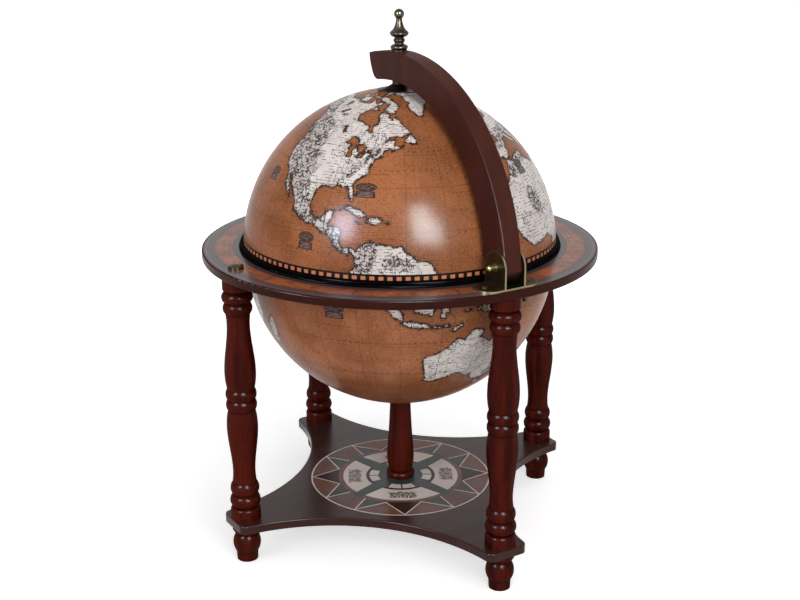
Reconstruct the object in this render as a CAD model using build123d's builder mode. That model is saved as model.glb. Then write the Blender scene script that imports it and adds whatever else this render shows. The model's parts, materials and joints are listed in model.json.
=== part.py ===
"""Tabletop globe bar: a globe whose upper half swings open over bottles and glasses.

Frame: millimetres, +Z up, origin on the floor under the middle of the globe.
The lid hinge stands on the ring at +Y, so the bar is used from the -Y side.
"""

import os
from math import acos, asin, cos, degrees, radians, sqrt

from build123d import *

os.makedirs("parts", exist_ok=True)

# ---------------------------------------------------------------- stand sizes
foot_height = 39.0
foot_radius = 11.0             # at the floor
foot_neck_radius = 11.5        # above and below the ball
foot_ball_radius = 14.6
foot_ball_height = 19.8
foot_collar_radius = 14.7
foot_collar_height = 4.0
foot_collar_slope = 5.5        # height of the slant from ball to collar
shelf_thickness = 9.0
shelf_side_reach = 113.4       # from the middle to the hollow of each side
shelf_side_radius = 196.5      # curve of each hollow side
shelf_corner_rounding = 8.0
board_edge_rounding = 1.2
leg_length = 263.0
leg_inset = 17.5               # leg axis in from the ring's rim
leg_base_height = 13.8
leg_base_radius = 15.7         # and the shelf's corners end level with its side
leg_base_straight = 8.8        # height of the base's straight side
leg_base_shoulder = 3.3        # height of the round above it, to the shoulder point
leg_shoulder_radius = 14.9
leg_collar_height = 14.5
leg_collar_radius = 14.6
leg_collar_slope = 2.2
leg_bead_radius = 15.9
leg_small_bead_radius = 15.0
leg_groove_radius = 12.6
leg_low_bead = 13.6            # height of one bead at the foot of the leg
leg_middle_bead = 11.5
leg_top_bead = 11.5
vase_end_radius = 14.0
vase_swell_radius = 16.0
vase_swell_place = 0.26        # shares of the vase's length, from its wide end
vase_middle_place = 0.54
vase_waist_place = 0.86
vase_waist_radius = 11.65
ring_thickness = 9.0
ring_width = 44.0
ring_clearance = 1.0           # air between the bowl and the ring's bore
column_bead_radius = 15.7
column_bead_height = 8.5
column_groove_radius = 12.4
column_swell_radius = 14.6
column_swell_place = 0.2       # shares of the column's height, from the shelf
column_body_radius = 13.9
column_body_place = 0.42
column_neck_radius = 11.85
column_neck_place = 0.75
column_top_radius = 11.4
column_spare = 1.0             # turned past the bowl's pole, then hollowed to fit it
inlay_thickness = 0.5
inlay_clearance = 0.1
compass_radius = 100.0
print_inset = 2.0              # wood left showing outside the printed ring
print_gap = 0.5                # between the black rim and the printed ring

# ---------------------------------------------------------------- globe sizes
globe_radius = 165.0
globe_wall = 3.0
bowl_inset = 1.5               # the bowl is this much smaller than the lid
dome_drop = 2.7                # the lid's centre lies below the ring's top
rim_overhang = 6.0             # black rim beyond the bowl, resting on the ring
rim_thickness = 2.2
rim_edge_rounding = 0.99
rim_skirt = 2.5
rim_skirt_height = 12.0
lid_gap = 0.3                  # between the two black rims when shut
lid_rim_overhang = 3.5
lid_rim_floor = 1.5
lid_rim_lip = 2.3              # lip's height up the outside of the lid
lid_rim_shoulder_out = 2.6     # a point on the lip's round top: out from the lid
lid_rim_shoulder_up = 1.6      # and up from the lip's foot
lid_rim_skirt = 2.6
lid_rim_skirt_height = 6.0
glue_gap = 0.1

# --------------------------------------------------------------- bar rack sizes
bottle_hole_radius = 46.0
glass_hole_radius = 34.0
glass_hole_margin = 15.0       # wood between each glass hole and the rack's rim
glass_count = 6
rack_thickness = 6.0
rack_depth = 61.0              # rack floor's underside below the ring's underside
rack_top_margin = 8.5          # between the rack top's rim and the bowl's wall
post_count = 3
post_length = 40.0
post_radius = 6.0
post_inset = 27.0              # post axis in from the rack top's rim
seat_radius = 42.0
seat_height = 9.5
seat_gap = 0.1

# --------------------------------------------------------- arm and hinge sizes
arm_gap = 6.0                  # between the lid and the arm
arm_depth = 29.5
arm_flare = 3.0                # the outer curve's centre towards the hinge
arm_width = 20.0
arm_overrun = 43.5             # the arm's tip past the pole
arm_tip_slant = 11.5           # the tip's foot back from its top corner
arm_tip_bulge = 2.5
arm_tip_rounding = 10.0
arm_foot_rounding = 14.0
arm_foot_clearance = 1.5
arm_edge_rounding = 0.8
pin_inset = 19.0               # pin axis out from the arm's inner curve
pin_height = 20.0              # pin axis above the ring
pin_radius = 2.5
pin_head_radius = 4.0
pin_head_height = 2.6
pin_head_rim = 0.65
bush_wall = 1.5
ear_width = 32.0
ear_thickness = 1.8
ear_gap = 0.3                  # between the arm's side and each ear
bracket_length = 66.0
bracket_thickness = 2.0
bracket_corner = 14.0
bolt_spacing = 47.0
bolt_radius = 2.2
bolt_length = 21.0
bolt_head_radius = 3.8
bolt_head_height = 2.4
bolt_head_rim = 0.6
nut_size = 7.0                 # across the flats
nut_height = 3.2
washer_radius = 4.6
washer_thickness = 0.8
cap_nut_radius = 3.2
cap_nut_neck_radius = 2.9
cap_nut_flange_radius = 4.4
cap_nut_flange = 0.8
cap_nut_neck = 2.6
cap_nut_length = 9.6
cap_nut_thread = 6.6
cap_nut_crown = 2.0

# ----------------------------------------------------------- pole bearing sizes
pivot_radius = 3.0
pivot_head_radius = 7.5
pivot_head_height = 4.5
pivot_head_rounding = 1.8
stud_radius = 2.4
stud_length = 11.0
pole_bush_wall = 2.0
pole_bush_flange_radius = 7.5
pole_bush_flange = 1.5
pole_plate_radius = 18.0
pole_plate_thickness = 2.9
dish_radius = 22.5
dish_height = 4.2
dish_rim = 0.8
dish_top_radius = 8.2
dish_waist_radius = 14.1
dish_waist_rise = 1.6          # of the hollow's lowest point, above the rim
collar_radius = 7.3
collar_gap = 0.3
running_clearance = 0.05
end_play = 0.1

# ----------------------------------------------------------------- finial sizes
finial_base_radius = 7.6
finial_base_height = 0.9
finial_collar_radius = 8.95
finial_collar_rise = 3.0
finial_collar_fall = 3.0
finial_stem_radius = 4.9
finial_stem_length = 1.7
finial_bead_radius = 5.95
finial_bead_height = 4.0
finial_upper_stem_length = 1.6
finial_flare_radius = 9.0
finial_flare_height = 1.7
finial_bell_radius = 9.7
finial_bell_rise = 1.8
finial_shoulder_radius = 7.0
finial_shoulder_height = 3.4
finial_throat_radius = 4.65
finial_throat_height = 4.0
finial_neck_radius = 3.2
finial_ball_radius = 5.2
finial_ball_height = 36.8      # of the ball's centre, above the arm

# --------------------------------------------------------------- fastener sizes
screw_radius = 1.75
screw_length = 40.0
screw_head_radius = 4.6
screw_head_height = 2.6
screw_hole_clearance = 0.05
drill_reach = 5.0              # past the far face, so that a hole goes right through
counterbore_radius = 5.0
counterbore_depth = 6.2
shelf_counterbore_depth = 3.0
foot_stud_radius = 3.0
foot_stud_in_foot = 22.0
foot_stud_in_leg = 30.0
small_screw_radius = 1.7
small_screw_length = 18.0
small_head_radius = 3.2
small_head_height = 2.2
cap_radius = 7.9
cap_height = 4.6
cap_rim_height = 3.0
cap_spigot = 3.0

# -------------------------------------------------------------- derived places
shelf_bottom = foot_height
shelf_top = shelf_bottom + shelf_thickness
ring_bottom = shelf_top + leg_length
ring_top = ring_bottom + ring_thickness

bowl_radius = globe_radius - bowl_inset
bowl_inner_radius = bowl_radius - globe_wall
bowl_centre_z = ring_bottom
bowl_bottom = bowl_centre_z - bowl_radius
bowl_floor = bowl_centre_z - bowl_inner_radius
rim_outer_radius = bowl_radius + rim_overhang
rim_top = ring_top + rim_thickness

dome_inner_radius = globe_radius - globe_wall
dome_centre_z = ring_top - dome_drop
dome_top = dome_centre_z + globe_radius
lid_rim_bottom = rim_top + lid_gap
dome_edge = lid_rim_bottom + lid_rim_floor
lid_rim_outer_radius = globe_radius + lid_rim_overhang

ring_bore_radius = bowl_radius + ring_clearance
ring_outer_radius = ring_bore_radius + ring_width
leg_circle_radius = ring_outer_radius - leg_inset
shelf_corner_reach = leg_circle_radius + leg_base_radius
print_inner_radius = rim_outer_radius + print_gap
print_outer_radius = ring_outer_radius - print_inset

arm_inner_radius = globe_radius + arm_gap
arm_outer_radius = arm_inner_radius + arm_depth
arm_foot_z = ring_top + bracket_thickness + arm_foot_clearance
arm_top = ring_top + arm_outer_radius
pin_y = arm_inner_radius + pin_inset
pin_z = ring_top + pin_height
ear_inner_x = arm_width / 2 + ear_gap
ear_outer_x = ear_inner_x + ear_thickness
bush_radius = pin_radius + bush_wall

rack_top_radius = bowl_inner_radius - rack_top_margin
glass_circle_radius = rack_top_radius - glass_hole_margin - glass_hole_radius
post_circle_radius = rack_top_radius - post_inset
rack_floor_bottom = ring_bottom - rack_depth
rack_floor_top = rack_floor_bottom + rack_thickness
rack_top_bottom = rack_floor_top + post_length
rack_top_top = rack_top_bottom + rack_thickness
seat_top = bowl_floor + seat_height

screw_hole_radius = screw_radius + screw_hole_clearance
stud_hole_radius = foot_stud_radius + screw_hole_clearance
small_hole_radius = small_screw_radius + screw_hole_clearance
bolt_hole_radius = bolt_radius + screw_hole_clearance
pole_bush_radius = pivot_radius + running_clearance + pole_bush_wall
pole_hole_radius = pole_bush_radius + screw_hole_clearance
pole_plate_bottom = dome_centre_z + dome_inner_radius - pole_plate_thickness
pole_bush_bottom = pole_plate_bottom - pole_bush_flange
dish_top = dome_top + dish_height
pivot_seat = pole_bush_bottom - end_play

leg_places = {
    "front": (0, -leg_circle_radius),
    "back": (0, leg_circle_radius),
    "left": (-leg_circle_radius, 0),
    "right": (leg_circle_radius, 0),
}
all_legs = list(leg_places.values())
capped_legs = [place for side, place in leg_places.items() if side != "back"]
bolt_places = [(-bolt_spacing / 2, pin_y), (bolt_spacing / 2, pin_y)]
first_post_angle = 180 / glass_count + 90
low = (Align.CENTER, Align.CENTER, Align.MIN)
high = (Align.CENTER, Align.CENTER, Align.MAX)


def turning_plane(x=0.0, y=0.0):
    """Upright plane through a vertical axis: local x is the radius, local y is the height."""
    return Plane(origin=(x, y, 0), x_dir=(1, 0, 0), z_dir=(0, -1, 0))


def upright(x=0.0, y=0.0):
    """Vertical axis to revolve a turned piece about."""
    return Axis((x, y, 0), (0, 0, 1))


def bead(groove, crest, bottom, top):
    """Half-round moulding of a turned piece, from one groove up to the next."""
    ThreePointArc((groove, bottom), (crest, (bottom + top) / 2), (groove, top))


def vase(wide_end, narrow_end):
    """Long swelling of a leg, from its wide end's height to its narrow end's height."""
    run = narrow_end - wide_end
    Spline(
        (vase_end_radius, wide_end),
        (vase_swell_radius, wide_end + vase_swell_place * run),
        ((vase_swell_radius + vase_waist_radius) / 2, wide_end + vase_middle_place * run),
        (vase_waist_radius, wide_end + vase_waist_place * run),
        (leg_groove_radius, narrow_end),
    )


def crown(rim_radius, rim_height, crown_height):
    """Spherical crown of a turned piece, from its rim in to its axis."""
    side = 1 if crown_height > rim_height else -1
    rise = abs(crown_height - rim_height)
    ball = (rim_radius**2 + rise**2) / (2 * rise)
    spread = degrees(asin(rim_radius / ball))
    CenterArc((0, crown_height - side * ball), ball, side * (90 - spread), side * spread)


def sphere_height(radius, centre_z, out):
    """Height above a sphere's centre at a distance out from its vertical axis."""
    return centre_z + sqrt(radius**2 - out**2)


# ------------------------------------------------------------------------ feet
foot_collar = foot_height - foot_collar_height
foot_shoulder = foot_collar - foot_collar_slope
foot_neck = foot_shoulder - foot_ball_height

for side, (x, y) in leg_places.items():
    with BuildPart() as foot:
        with BuildSketch(turning_plane(x, y)):
            with BuildLine():
                Polyline(
                    (0, foot_height),
                    (0, 0),
                    (foot_radius, 0),
                    (foot_neck_radius, foot_neck),
                )
                ThreePointArc(
                    (foot_neck_radius, foot_neck),
                    (foot_ball_radius, (foot_neck + foot_shoulder) / 2),
                    (foot_neck_radius, foot_shoulder),
                )
                Polyline(
                    (foot_neck_radius, foot_shoulder),
                    (foot_collar_radius, foot_collar),
                    (foot_collar_radius, foot_height),
                    (0, foot_height),
                )
            make_face()
        revolve(axis=upright(x, y))
        with Locations((x, y, foot_height)):
            Cylinder(stud_hole_radius, foot_stud_in_foot, align=high, mode=Mode.SUBTRACT)
    foot.part.label = f"foot_{side}"
    export_step(foot.part, f"parts/foot_{side}.step")

# ------------------------------------------------------------------------ legs
base_round_start = shelf_top + leg_base_straight
base_shoulder = base_round_start + leg_base_shoulder
low_bead_1 = shelf_top + leg_base_height
low_bead_2 = low_bead_1 + leg_low_bead
low_bead_end = low_bead_2 + leg_low_bead
collar_start = ring_bottom - leg_collar_height
top_bead_2 = collar_start - leg_top_bead
top_bead_1 = top_bead_2 - leg_top_bead
vase_length = (top_bead_1 - low_bead_end - 2 * leg_middle_bead) / 2
middle_bead_1 = low_bead_end + vase_length
middle_bead_2 = middle_bead_1 + leg_middle_bead
middle_bead_end = middle_bead_2 + leg_middle_bead

for side, (x, y) in leg_places.items():
    with BuildPart() as leg:
        with BuildSketch(turning_plane(x, y)):
            with BuildLine():
                Polyline(
                    (0, ring_bottom),
                    (0, shelf_top),
                    (leg_base_radius, shelf_top),
                    (leg_base_radius, base_round_start),
                )
                ThreePointArc(
                    (leg_base_radius, base_round_start),
                    (leg_shoulder_radius, base_shoulder),
                    (leg_groove_radius, low_bead_1),
                )
                bead(leg_groove_radius, leg_bead_radius, low_bead_1, low_bead_2)
                bead(leg_groove_radius, leg_small_bead_radius, low_bead_2, low_bead_end)
                vase(middle_bead_1, low_bead_end)
                bead(vase_end_radius, leg_bead_radius, middle_bead_1, middle_bead_2)
                bead(vase_end_radius, leg_bead_radius, middle_bead_2, middle_bead_end)
                vase(middle_bead_end, top_bead_1)
                bead(leg_groove_radius, leg_small_bead_radius, top_bead_1, top_bead_2)
                bead(leg_groove_radius, leg_bead_radius, top_bead_2, collar_start)
                Polyline(
                    (leg_groove_radius, collar_start),
                    (leg_collar_radius, collar_start + leg_collar_slope),
                    (leg_collar_radius, ring_bottom),
                    (0, ring_bottom),
                )
            make_face()
        revolve(axis=upright(x, y))
        with Locations((x, y, shelf_top)):
            Cylinder(stud_hole_radius, foot_stud_in_leg, align=low, mode=Mode.SUBTRACT)
        with Locations((x, y, ring_bottom)):
            Cylinder(screw_hole_radius, screw_length, align=high, mode=Mode.SUBTRACT)
    leg.part.label = f"leg_{side}"
    export_step(leg.part, f"parts/leg_{side}.step")

with BuildPart() as foot_studs:
    with Locations(*[(x, y, shelf_bottom - foot_stud_in_foot) for x, y in all_legs]):
        Cylinder(
            foot_stud_radius, foot_stud_in_foot + shelf_thickness + foot_stud_in_leg, align=low
        )
foot_studs.part.label = "foot_studs"
export_step(foot_studs.part, "parts/foot_studs.step")

# ----------------------------------------------------------------------- shelf
side_centre = shelf_side_reach + shelf_side_radius

with BuildPart() as shelf:
    with BuildSketch(Plane.XY.offset(shelf_bottom)) as shelf_outline:
        Rectangle(2 * shelf_corner_reach, 2 * shelf_corner_reach)
        with PolarLocations(side_centre, 4, start_angle=45):
            Circle(shelf_side_radius, mode=Mode.SUBTRACT)
        fillet(shelf_outline.vertices(), shelf_corner_rounding)
    extrude(amount=shelf_thickness)
    fillet(shelf.edges().group_by(Axis.Z)[-1], board_edge_rounding)
    with Locations((0, 0, shelf_top)):
        Cylinder(
            compass_radius + inlay_clearance, inlay_thickness, align=high, mode=Mode.SUBTRACT
        )
    with Locations(*[(x, y, shelf_top) for x, y in all_legs]):
        Cylinder(stud_hole_radius, shelf_thickness, align=high, mode=Mode.SUBTRACT)
    with Locations((0, 0, shelf_bottom)):
        Cylinder(counterbore_radius, shelf_counterbore_depth, align=low, mode=Mode.SUBTRACT)
        Cylinder(screw_hole_radius, shelf_thickness, align=low, mode=Mode.SUBTRACT)
shelf.part.label = "shelf"
export_step(shelf.part, "parts/shelf.step")

with BuildPart() as compass_inlay:
    with Locations((0, 0, shelf_top)):
        Cylinder(compass_radius, inlay_thickness, align=high)
        Cylinder(screw_hole_radius, inlay_thickness, align=high, mode=Mode.SUBTRACT)
compass_inlay.part.label = "compass_inlay"
export_step(compass_inlay.part, "parts/compass_inlay.step")

# --------------------------------------------------------------- centre column
column_height = bowl_bottom - shelf_top
column_bead_top = shelf_top + column_bead_height
column_end = bowl_bottom + column_spare

with BuildPart() as centre_column:
    with BuildSketch(turning_plane()):
        with BuildLine():
            Polyline((0, column_end), (0, shelf_top), (column_groove_radius, shelf_top))
            bead(column_groove_radius, column_bead_radius, shelf_top, column_bead_top)
            Spline(
                (column_groove_radius, column_bead_top),
                (column_swell_radius, shelf_top + column_swell_place * column_height),
                (column_body_radius, shelf_top + column_body_place * column_height),
                (column_neck_radius, shelf_top + column_neck_place * column_height),
                (column_top_radius, column_end),
            )
            Line((column_top_radius, column_end), (0, column_end))
        make_face()
    revolve(axis=upright())
    with Locations((0, 0, bowl_centre_z)):
        Sphere(bowl_radius + seat_gap, mode=Mode.SUBTRACT)
    with Locations((0, 0, shelf_top)):
        Cylinder(screw_hole_radius, screw_length, align=low, mode=Mode.SUBTRACT)
    with Locations((0, 0, bowl_bottom)):
        Cylinder(screw_hole_radius, screw_length, align=high, mode=Mode.SUBTRACT)
centre_column.part.label = "centre_column"
export_step(centre_column.part, "parts/centre_column.step")

shelf_screw_seat = shelf_bottom + shelf_counterbore_depth
bowl_screw_seat = seat_top - counterbore_depth

with BuildPart() as column_screws:
    with Locations((0, 0, shelf_screw_seat)):
        Cylinder(screw_head_radius, screw_head_height, align=high)
        Cylinder(screw_radius, screw_length, align=low)
    with Locations((0, 0, bowl_screw_seat)):
        Cylinder(screw_head_radius, screw_head_height, align=low)
        Cylinder(screw_radius, screw_length, align=high)
column_screws.part.label = "column_screws"
export_step(column_screws.part, "parts/column_screws.step")

# ---------------------------------------------------------------- horizon ring
with BuildPart() as horizon_ring:
    with BuildSketch(Plane.XY.offset(ring_bottom)):
        Circle(ring_outer_radius)
        Circle(ring_bore_radius, mode=Mode.SUBTRACT)
    extrude(amount=ring_thickness)
    fillet(horizon_ring.faces().sort_by(Axis.Z)[-1].outer_wire().edges(), board_edge_rounding)
    fillet(horizon_ring.faces().sort_by(Axis.Z)[0].outer_wire().edges(), board_edge_rounding)
    with BuildSketch(Plane.XY.offset(ring_top)):
        Circle(print_outer_radius + inlay_clearance)
        Circle(print_inner_radius - inlay_clearance, mode=Mode.SUBTRACT)
    extrude(amount=-inlay_thickness, mode=Mode.SUBTRACT)
    with Locations(*[(x, y, ring_top) for x, y in all_legs]):
        Cylinder(counterbore_radius, counterbore_depth, align=high, mode=Mode.SUBTRACT)
        Cylinder(screw_hole_radius, ring_thickness, align=high, mode=Mode.SUBTRACT)
    with Locations(*[(x, y, ring_top) for x, y in bolt_places]):
        Cylinder(bolt_hole_radius, ring_thickness, align=high, mode=Mode.SUBTRACT)
horizon_ring.part.label = "horizon_ring"
export_step(horizon_ring.part, "parts/horizon_ring.step")

with BuildPart() as horizon_print:
    with BuildSketch(Plane.XY.offset(ring_top)):
        Circle(print_outer_radius)
        Circle(print_inner_radius, mode=Mode.SUBTRACT)
        with Locations(*all_legs):
            Circle(counterbore_radius, mode=Mode.SUBTRACT)
        with Locations(*bolt_places):
            Circle(bolt_hole_radius, mode=Mode.SUBTRACT)
    extrude(amount=-inlay_thickness)
horizon_print.part.label = "horizon_print"
export_step(horizon_print.part, "parts/horizon_print.step")

with BuildPart() as leg_screws:
    with Locations(*[(x, y, ring_top - counterbore_depth) for x, y in all_legs]):
        Cylinder(screw_head_radius, screw_head_height, align=low)
        Cylinder(screw_radius, screw_length, align=high)
leg_screws.part.label = "leg_screws"
export_step(leg_screws.part, "parts/leg_screws.step")

with BuildPart() as one_cap:
    with BuildSketch(turning_plane()):
        with BuildLine():
            Polyline(
                (0, cap_height),
                (0, -cap_spigot),
                (screw_head_radius, -cap_spigot),
                (screw_head_radius, 0),
                (cap_radius, 0),
                (cap_radius, cap_rim_height),
            )
            crown(cap_radius, cap_rim_height, cap_height)
        make_face()
    revolve(axis=upright())

with BuildPart() as screw_caps:
    with Locations(*[(x, y, ring_top) for x, y in capped_legs]):
        add(one_cap.part)
screw_caps.part.label = "screw_caps"
export_step(screw_caps.part, "parts/screw_caps.step")

# ------------------------------------------------------------------- lower half
with BuildPart() as bowl:
    with BuildSketch(turning_plane()):
        with BuildLine():
            CenterArc((0, bowl_centre_z), bowl_radius, -90, 90)
            Polyline(
                (bowl_radius, bowl_centre_z),
                (bowl_radius, ring_top),
                (bowl_inner_radius, ring_top),
                (bowl_inner_radius, bowl_centre_z),
            )
            CenterArc((0, bowl_centre_z), bowl_inner_radius, 0, -90)
            Line((0, bowl_floor), (0, bowl_bottom))
        make_face()
    revolve(axis=upright())
    with Locations((0, 0, bowl_bottom)):
        Cylinder(screw_hole_radius, 2 * drill_reach, mode=Mode.SUBTRACT)
bowl.part.label = "bowl"
export_step(bowl.part, "parts/bowl.step")

rim_skirt_radius = bowl_inner_radius - seat_gap
rim_bore_radius = rim_skirt_radius - rim_skirt

with BuildPart() as bowl_rim:
    with BuildSketch(turning_plane()) as bowl_rim_section:
        with BuildLine():
            Polyline(
                (rim_bore_radius, rim_top),
                (rim_bore_radius, ring_top - rim_skirt_height),
                (rim_skirt_radius, ring_top - rim_skirt_height),
                (rim_skirt_radius, ring_top),
                (rim_outer_radius, ring_top),
                (rim_outer_radius, rim_top),
                close=True,
            )
        make_face()
        fillet(bowl_rim_section.vertices().sort_by(Axis.X)[-2:], rim_edge_rounding)
    revolve(axis=upright())
bowl_rim.part.label = "bowl_rim"
export_step(bowl_rim.part, "parts/bowl_rim.step")

# --------------------------------------------------------------------- bar rack
seat_ball_radius = bowl_inner_radius - seat_gap
seat_edge_z = bowl_centre_z - sqrt(seat_ball_radius**2 - seat_radius**2)

with BuildPart() as bottle_seat:
    with BuildSketch(turning_plane()):
        with BuildLine():
            CenterArc(
                (0, bowl_centre_z),
                seat_ball_radius,
                -90,
                degrees(asin(seat_radius / seat_ball_radius)),
            )
            Polyline(
                (seat_radius, seat_edge_z),
                (seat_radius, seat_top),
                (0, seat_top),
                (0, bowl_centre_z - seat_ball_radius),
            )
        make_face()
    revolve(axis=upright())
    with Locations((0, 0, seat_top)):
        Cylinder(counterbore_radius, counterbore_depth, align=high, mode=Mode.SUBTRACT)
        Cylinder(screw_hole_radius, seat_height + drill_reach, align=high, mode=Mode.SUBTRACT)
bottle_seat.part.label = "bottle_seat"
export_step(bottle_seat.part, "parts/bottle_seat.step")

rack_low_angle = degrees(asin((rack_floor_bottom - bowl_centre_z) / seat_ball_radius))
rack_high_angle = degrees(asin((rack_floor_top - bowl_centre_z) / seat_ball_radius))
rack_low_radius = seat_ball_radius * cos(radians(rack_low_angle))
rack_high_radius = seat_ball_radius * cos(radians(rack_high_angle))

with BuildPart() as rack_floor:
    with BuildSketch(turning_plane()):
        with BuildLine():
            CenterArc(
                (0, bowl_centre_z),
                seat_ball_radius,
                rack_low_angle,
                rack_high_angle - rack_low_angle,
            )
            Polyline(
                (rack_high_radius, rack_floor_top),
                (bottle_hole_radius, rack_floor_top),
                (bottle_hole_radius, rack_floor_bottom),
                (rack_low_radius, rack_floor_bottom),
            )
        make_face()
    revolve(axis=upright())
    with Locations((0, 0, rack_floor_bottom)):
        with PolarLocations(post_circle_radius, post_count, start_angle=first_post_angle):
            Cylinder(
                small_head_radius + screw_hole_clearance,
                small_head_height,
                align=low,
                mode=Mode.SUBTRACT,
            )
            Cylinder(small_hole_radius, rack_thickness, align=low, mode=Mode.SUBTRACT)
rack_floor.part.label = "rack_floor"
export_step(rack_floor.part, "parts/rack_floor.step")

with BuildPart() as rack_top:
    with BuildSketch(Plane.XY.offset(rack_top_bottom)):
        Circle(rack_top_radius)
        Circle(bottle_hole_radius, mode=Mode.SUBTRACT)
        with PolarLocations(glass_circle_radius, glass_count, start_angle=90):
            Circle(glass_hole_radius, mode=Mode.SUBTRACT)
    extrude(amount=rack_thickness)
    fillet(rack_top.edges().group_by(Axis.Z)[-1], board_edge_rounding)
    with Locations((0, 0, rack_top_top)):
        with PolarLocations(post_circle_radius, post_count, start_angle=first_post_angle):
            Cylinder(
                small_head_radius + screw_hole_clearance,
                small_head_height,
                align=high,
                mode=Mode.SUBTRACT,
            )
            Cylinder(small_hole_radius, rack_thickness, align=high, mode=Mode.SUBTRACT)
rack_top.part.label = "rack_top"
export_step(rack_top.part, "parts/rack_top.step")

with BuildPart() as rack_posts:
    with Locations((0, 0, rack_floor_top)):
        with PolarLocations(post_circle_radius, post_count, start_angle=first_post_angle):
            Cylinder(post_radius, post_length, align=low)
            Cylinder(small_hole_radius, post_length, align=low, mode=Mode.SUBTRACT)
rack_posts.part.label = "rack_posts"
export_step(rack_posts.part, "parts/rack_posts.step")

with BuildPart() as rack_screws:
    with Locations((0, 0, rack_floor_bottom + small_head_height)):
        with PolarLocations(post_circle_radius, post_count, start_angle=first_post_angle):
            Cylinder(small_head_radius, small_head_height, align=high)
            Cylinder(small_screw_radius, small_screw_length, align=low)
    with Locations((0, 0, rack_top_top - small_head_height)):
        with PolarLocations(post_circle_radius, post_count, start_angle=first_post_angle):
            Cylinder(small_head_radius, small_head_height, align=low)
            Cylinder(small_screw_radius, small_screw_length, align=high)
rack_screws.part.label = "rack_screws"
export_step(rack_screws.part, "parts/rack_screws.step")

# --------------------------------------------------------------- hinge bracket
with BuildPart() as hinge_bracket:
    with BuildSketch(Plane.XY.offset(ring_top)):
        with Locations((0, pin_y)):
            RectangleRounded(bracket_length, ear_width, bracket_corner)
    extrude(amount=bracket_thickness)
    for inner_face in (ear_inner_x, -ear_outer_x):
        with BuildSketch(Plane.YZ.offset(inner_face)):
            with Locations((pin_y, pin_z)):
                Circle(ear_width / 2)
                Rectangle(ear_width, pin_height, align=(Align.CENTER, Align.MAX))
        extrude(amount=ear_thickness)
    with BuildSketch(Plane.YZ.offset(-ear_outer_x)):
        with Locations((pin_y, pin_z)):
            Circle(pin_radius + running_clearance)
    extrude(amount=2 * ear_outer_x, mode=Mode.SUBTRACT)
    with Locations(*[(x, y, ring_top) for x, y in bolt_places]):
        Cylinder(bolt_hole_radius, bracket_thickness, align=low, mode=Mode.SUBTRACT)
hinge_bracket.part.label = "hinge_bracket"
export_step(hinge_bracket.part, "parts/hinge_bracket.step")

bracket_top = ring_top + bracket_thickness

with BuildPart() as one_bolt:
    with BuildSketch(turning_plane()):
        with BuildLine():
            Polyline(
                (0, bolt_head_height),
                (0, -bolt_length),
                (bolt_radius, -bolt_length),
                (bolt_radius, 0),
                (bolt_head_radius, 0),
                (bolt_head_radius, bolt_head_rim),
            )
            crown(bolt_head_radius, bolt_head_rim, bolt_head_height)
        make_face()
    revolve(axis=upright())

with BuildPart() as bracket_bolts:
    with Locations(*[(x, y, bracket_top) for x, y in bolt_places]):
        add(one_bolt.part)
bracket_bolts.part.label = "bracket_bolts"
export_step(bracket_bolts.part, "parts/bracket_bolts.step")

with BuildPart() as bracket_washers:
    with Locations(*[(x, y, ring_bottom) for x, y in bolt_places]):
        Cylinder(washer_radius, washer_thickness, align=high)
        Cylinder(bolt_hole_radius, washer_thickness, align=high, mode=Mode.SUBTRACT)
bracket_washers.part.label = "bracket_washers"
export_step(bracket_washers.part, "parts/bracket_washers.step")

with BuildPart() as bracket_nuts:
    with BuildSketch(Plane.XY.offset(ring_bottom - washer_thickness)):
        with Locations(*bolt_places):
            RegularPolygon(nut_size / 2, 6, major_radius=False)
            Circle(bolt_hole_radius, mode=Mode.SUBTRACT)
    extrude(amount=-nut_height)
bracket_nuts.part.label = "bracket_nuts"
export_step(bracket_nuts.part, "parts/bracket_nuts.step")

# ------------------------------------------------------------ hinge pin and nut
pin_line = Axis((0, pin_y, pin_z), (1, 0, 0))
pin_plane = Plane(origin=(0, pin_y, pin_z), x_dir=(0, 0, 1), z_dir=(0, 1, 0))
cap_nut_seat = ear_outer_x
pin_end = cap_nut_seat + cap_nut_flange + cap_nut_thread - 2 * end_play

with BuildPart() as hinge_pin:
    with BuildSketch(pin_plane):
        with BuildLine():
            Polyline(
                (0, -ear_outer_x - pin_head_height),
                (0, pin_end),
                (pin_radius, pin_end),
                (pin_radius, -ear_outer_x),
                (pin_head_radius, -ear_outer_x),
                (pin_head_radius, -ear_outer_x - pin_head_rim),
            )
            crown(
                pin_head_radius,
                -ear_outer_x - pin_head_rim,
                -ear_outer_x - pin_head_height,
            )
        make_face()
    revolve(axis=pin_line)
hinge_pin.part.label = "hinge_pin"
export_step(hinge_pin.part, "parts/hinge_pin.step")

neck_start = cap_nut_seat + cap_nut_flange
neck_end = neck_start + cap_nut_neck
cap_nut_end = cap_nut_seat + cap_nut_length
thread_end = neck_start + cap_nut_thread
cap_nut_bore = pin_radius + running_clearance

with BuildPart() as hinge_cap_nut:
    with BuildSketch(pin_plane):
        with BuildLine():
            Polyline(
                (0, cap_nut_end),
                (0, thread_end),
                (cap_nut_bore, thread_end),
                (cap_nut_bore, cap_nut_seat),
                (cap_nut_flange_radius, cap_nut_seat),
                (cap_nut_flange_radius, neck_start),
                (cap_nut_neck_radius, neck_start),
                (cap_nut_neck_radius, neck_end),
                (cap_nut_radius, neck_end),
                (cap_nut_radius, cap_nut_end - cap_nut_crown),
            )
            crown(cap_nut_radius, cap_nut_end - cap_nut_crown, cap_nut_end)
        make_face()
    revolve(axis=pin_line)
hinge_cap_nut.part.label = "hinge_cap_nut"
export_step(hinge_cap_nut.part, "parts/hinge_cap_nut.step")

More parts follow.
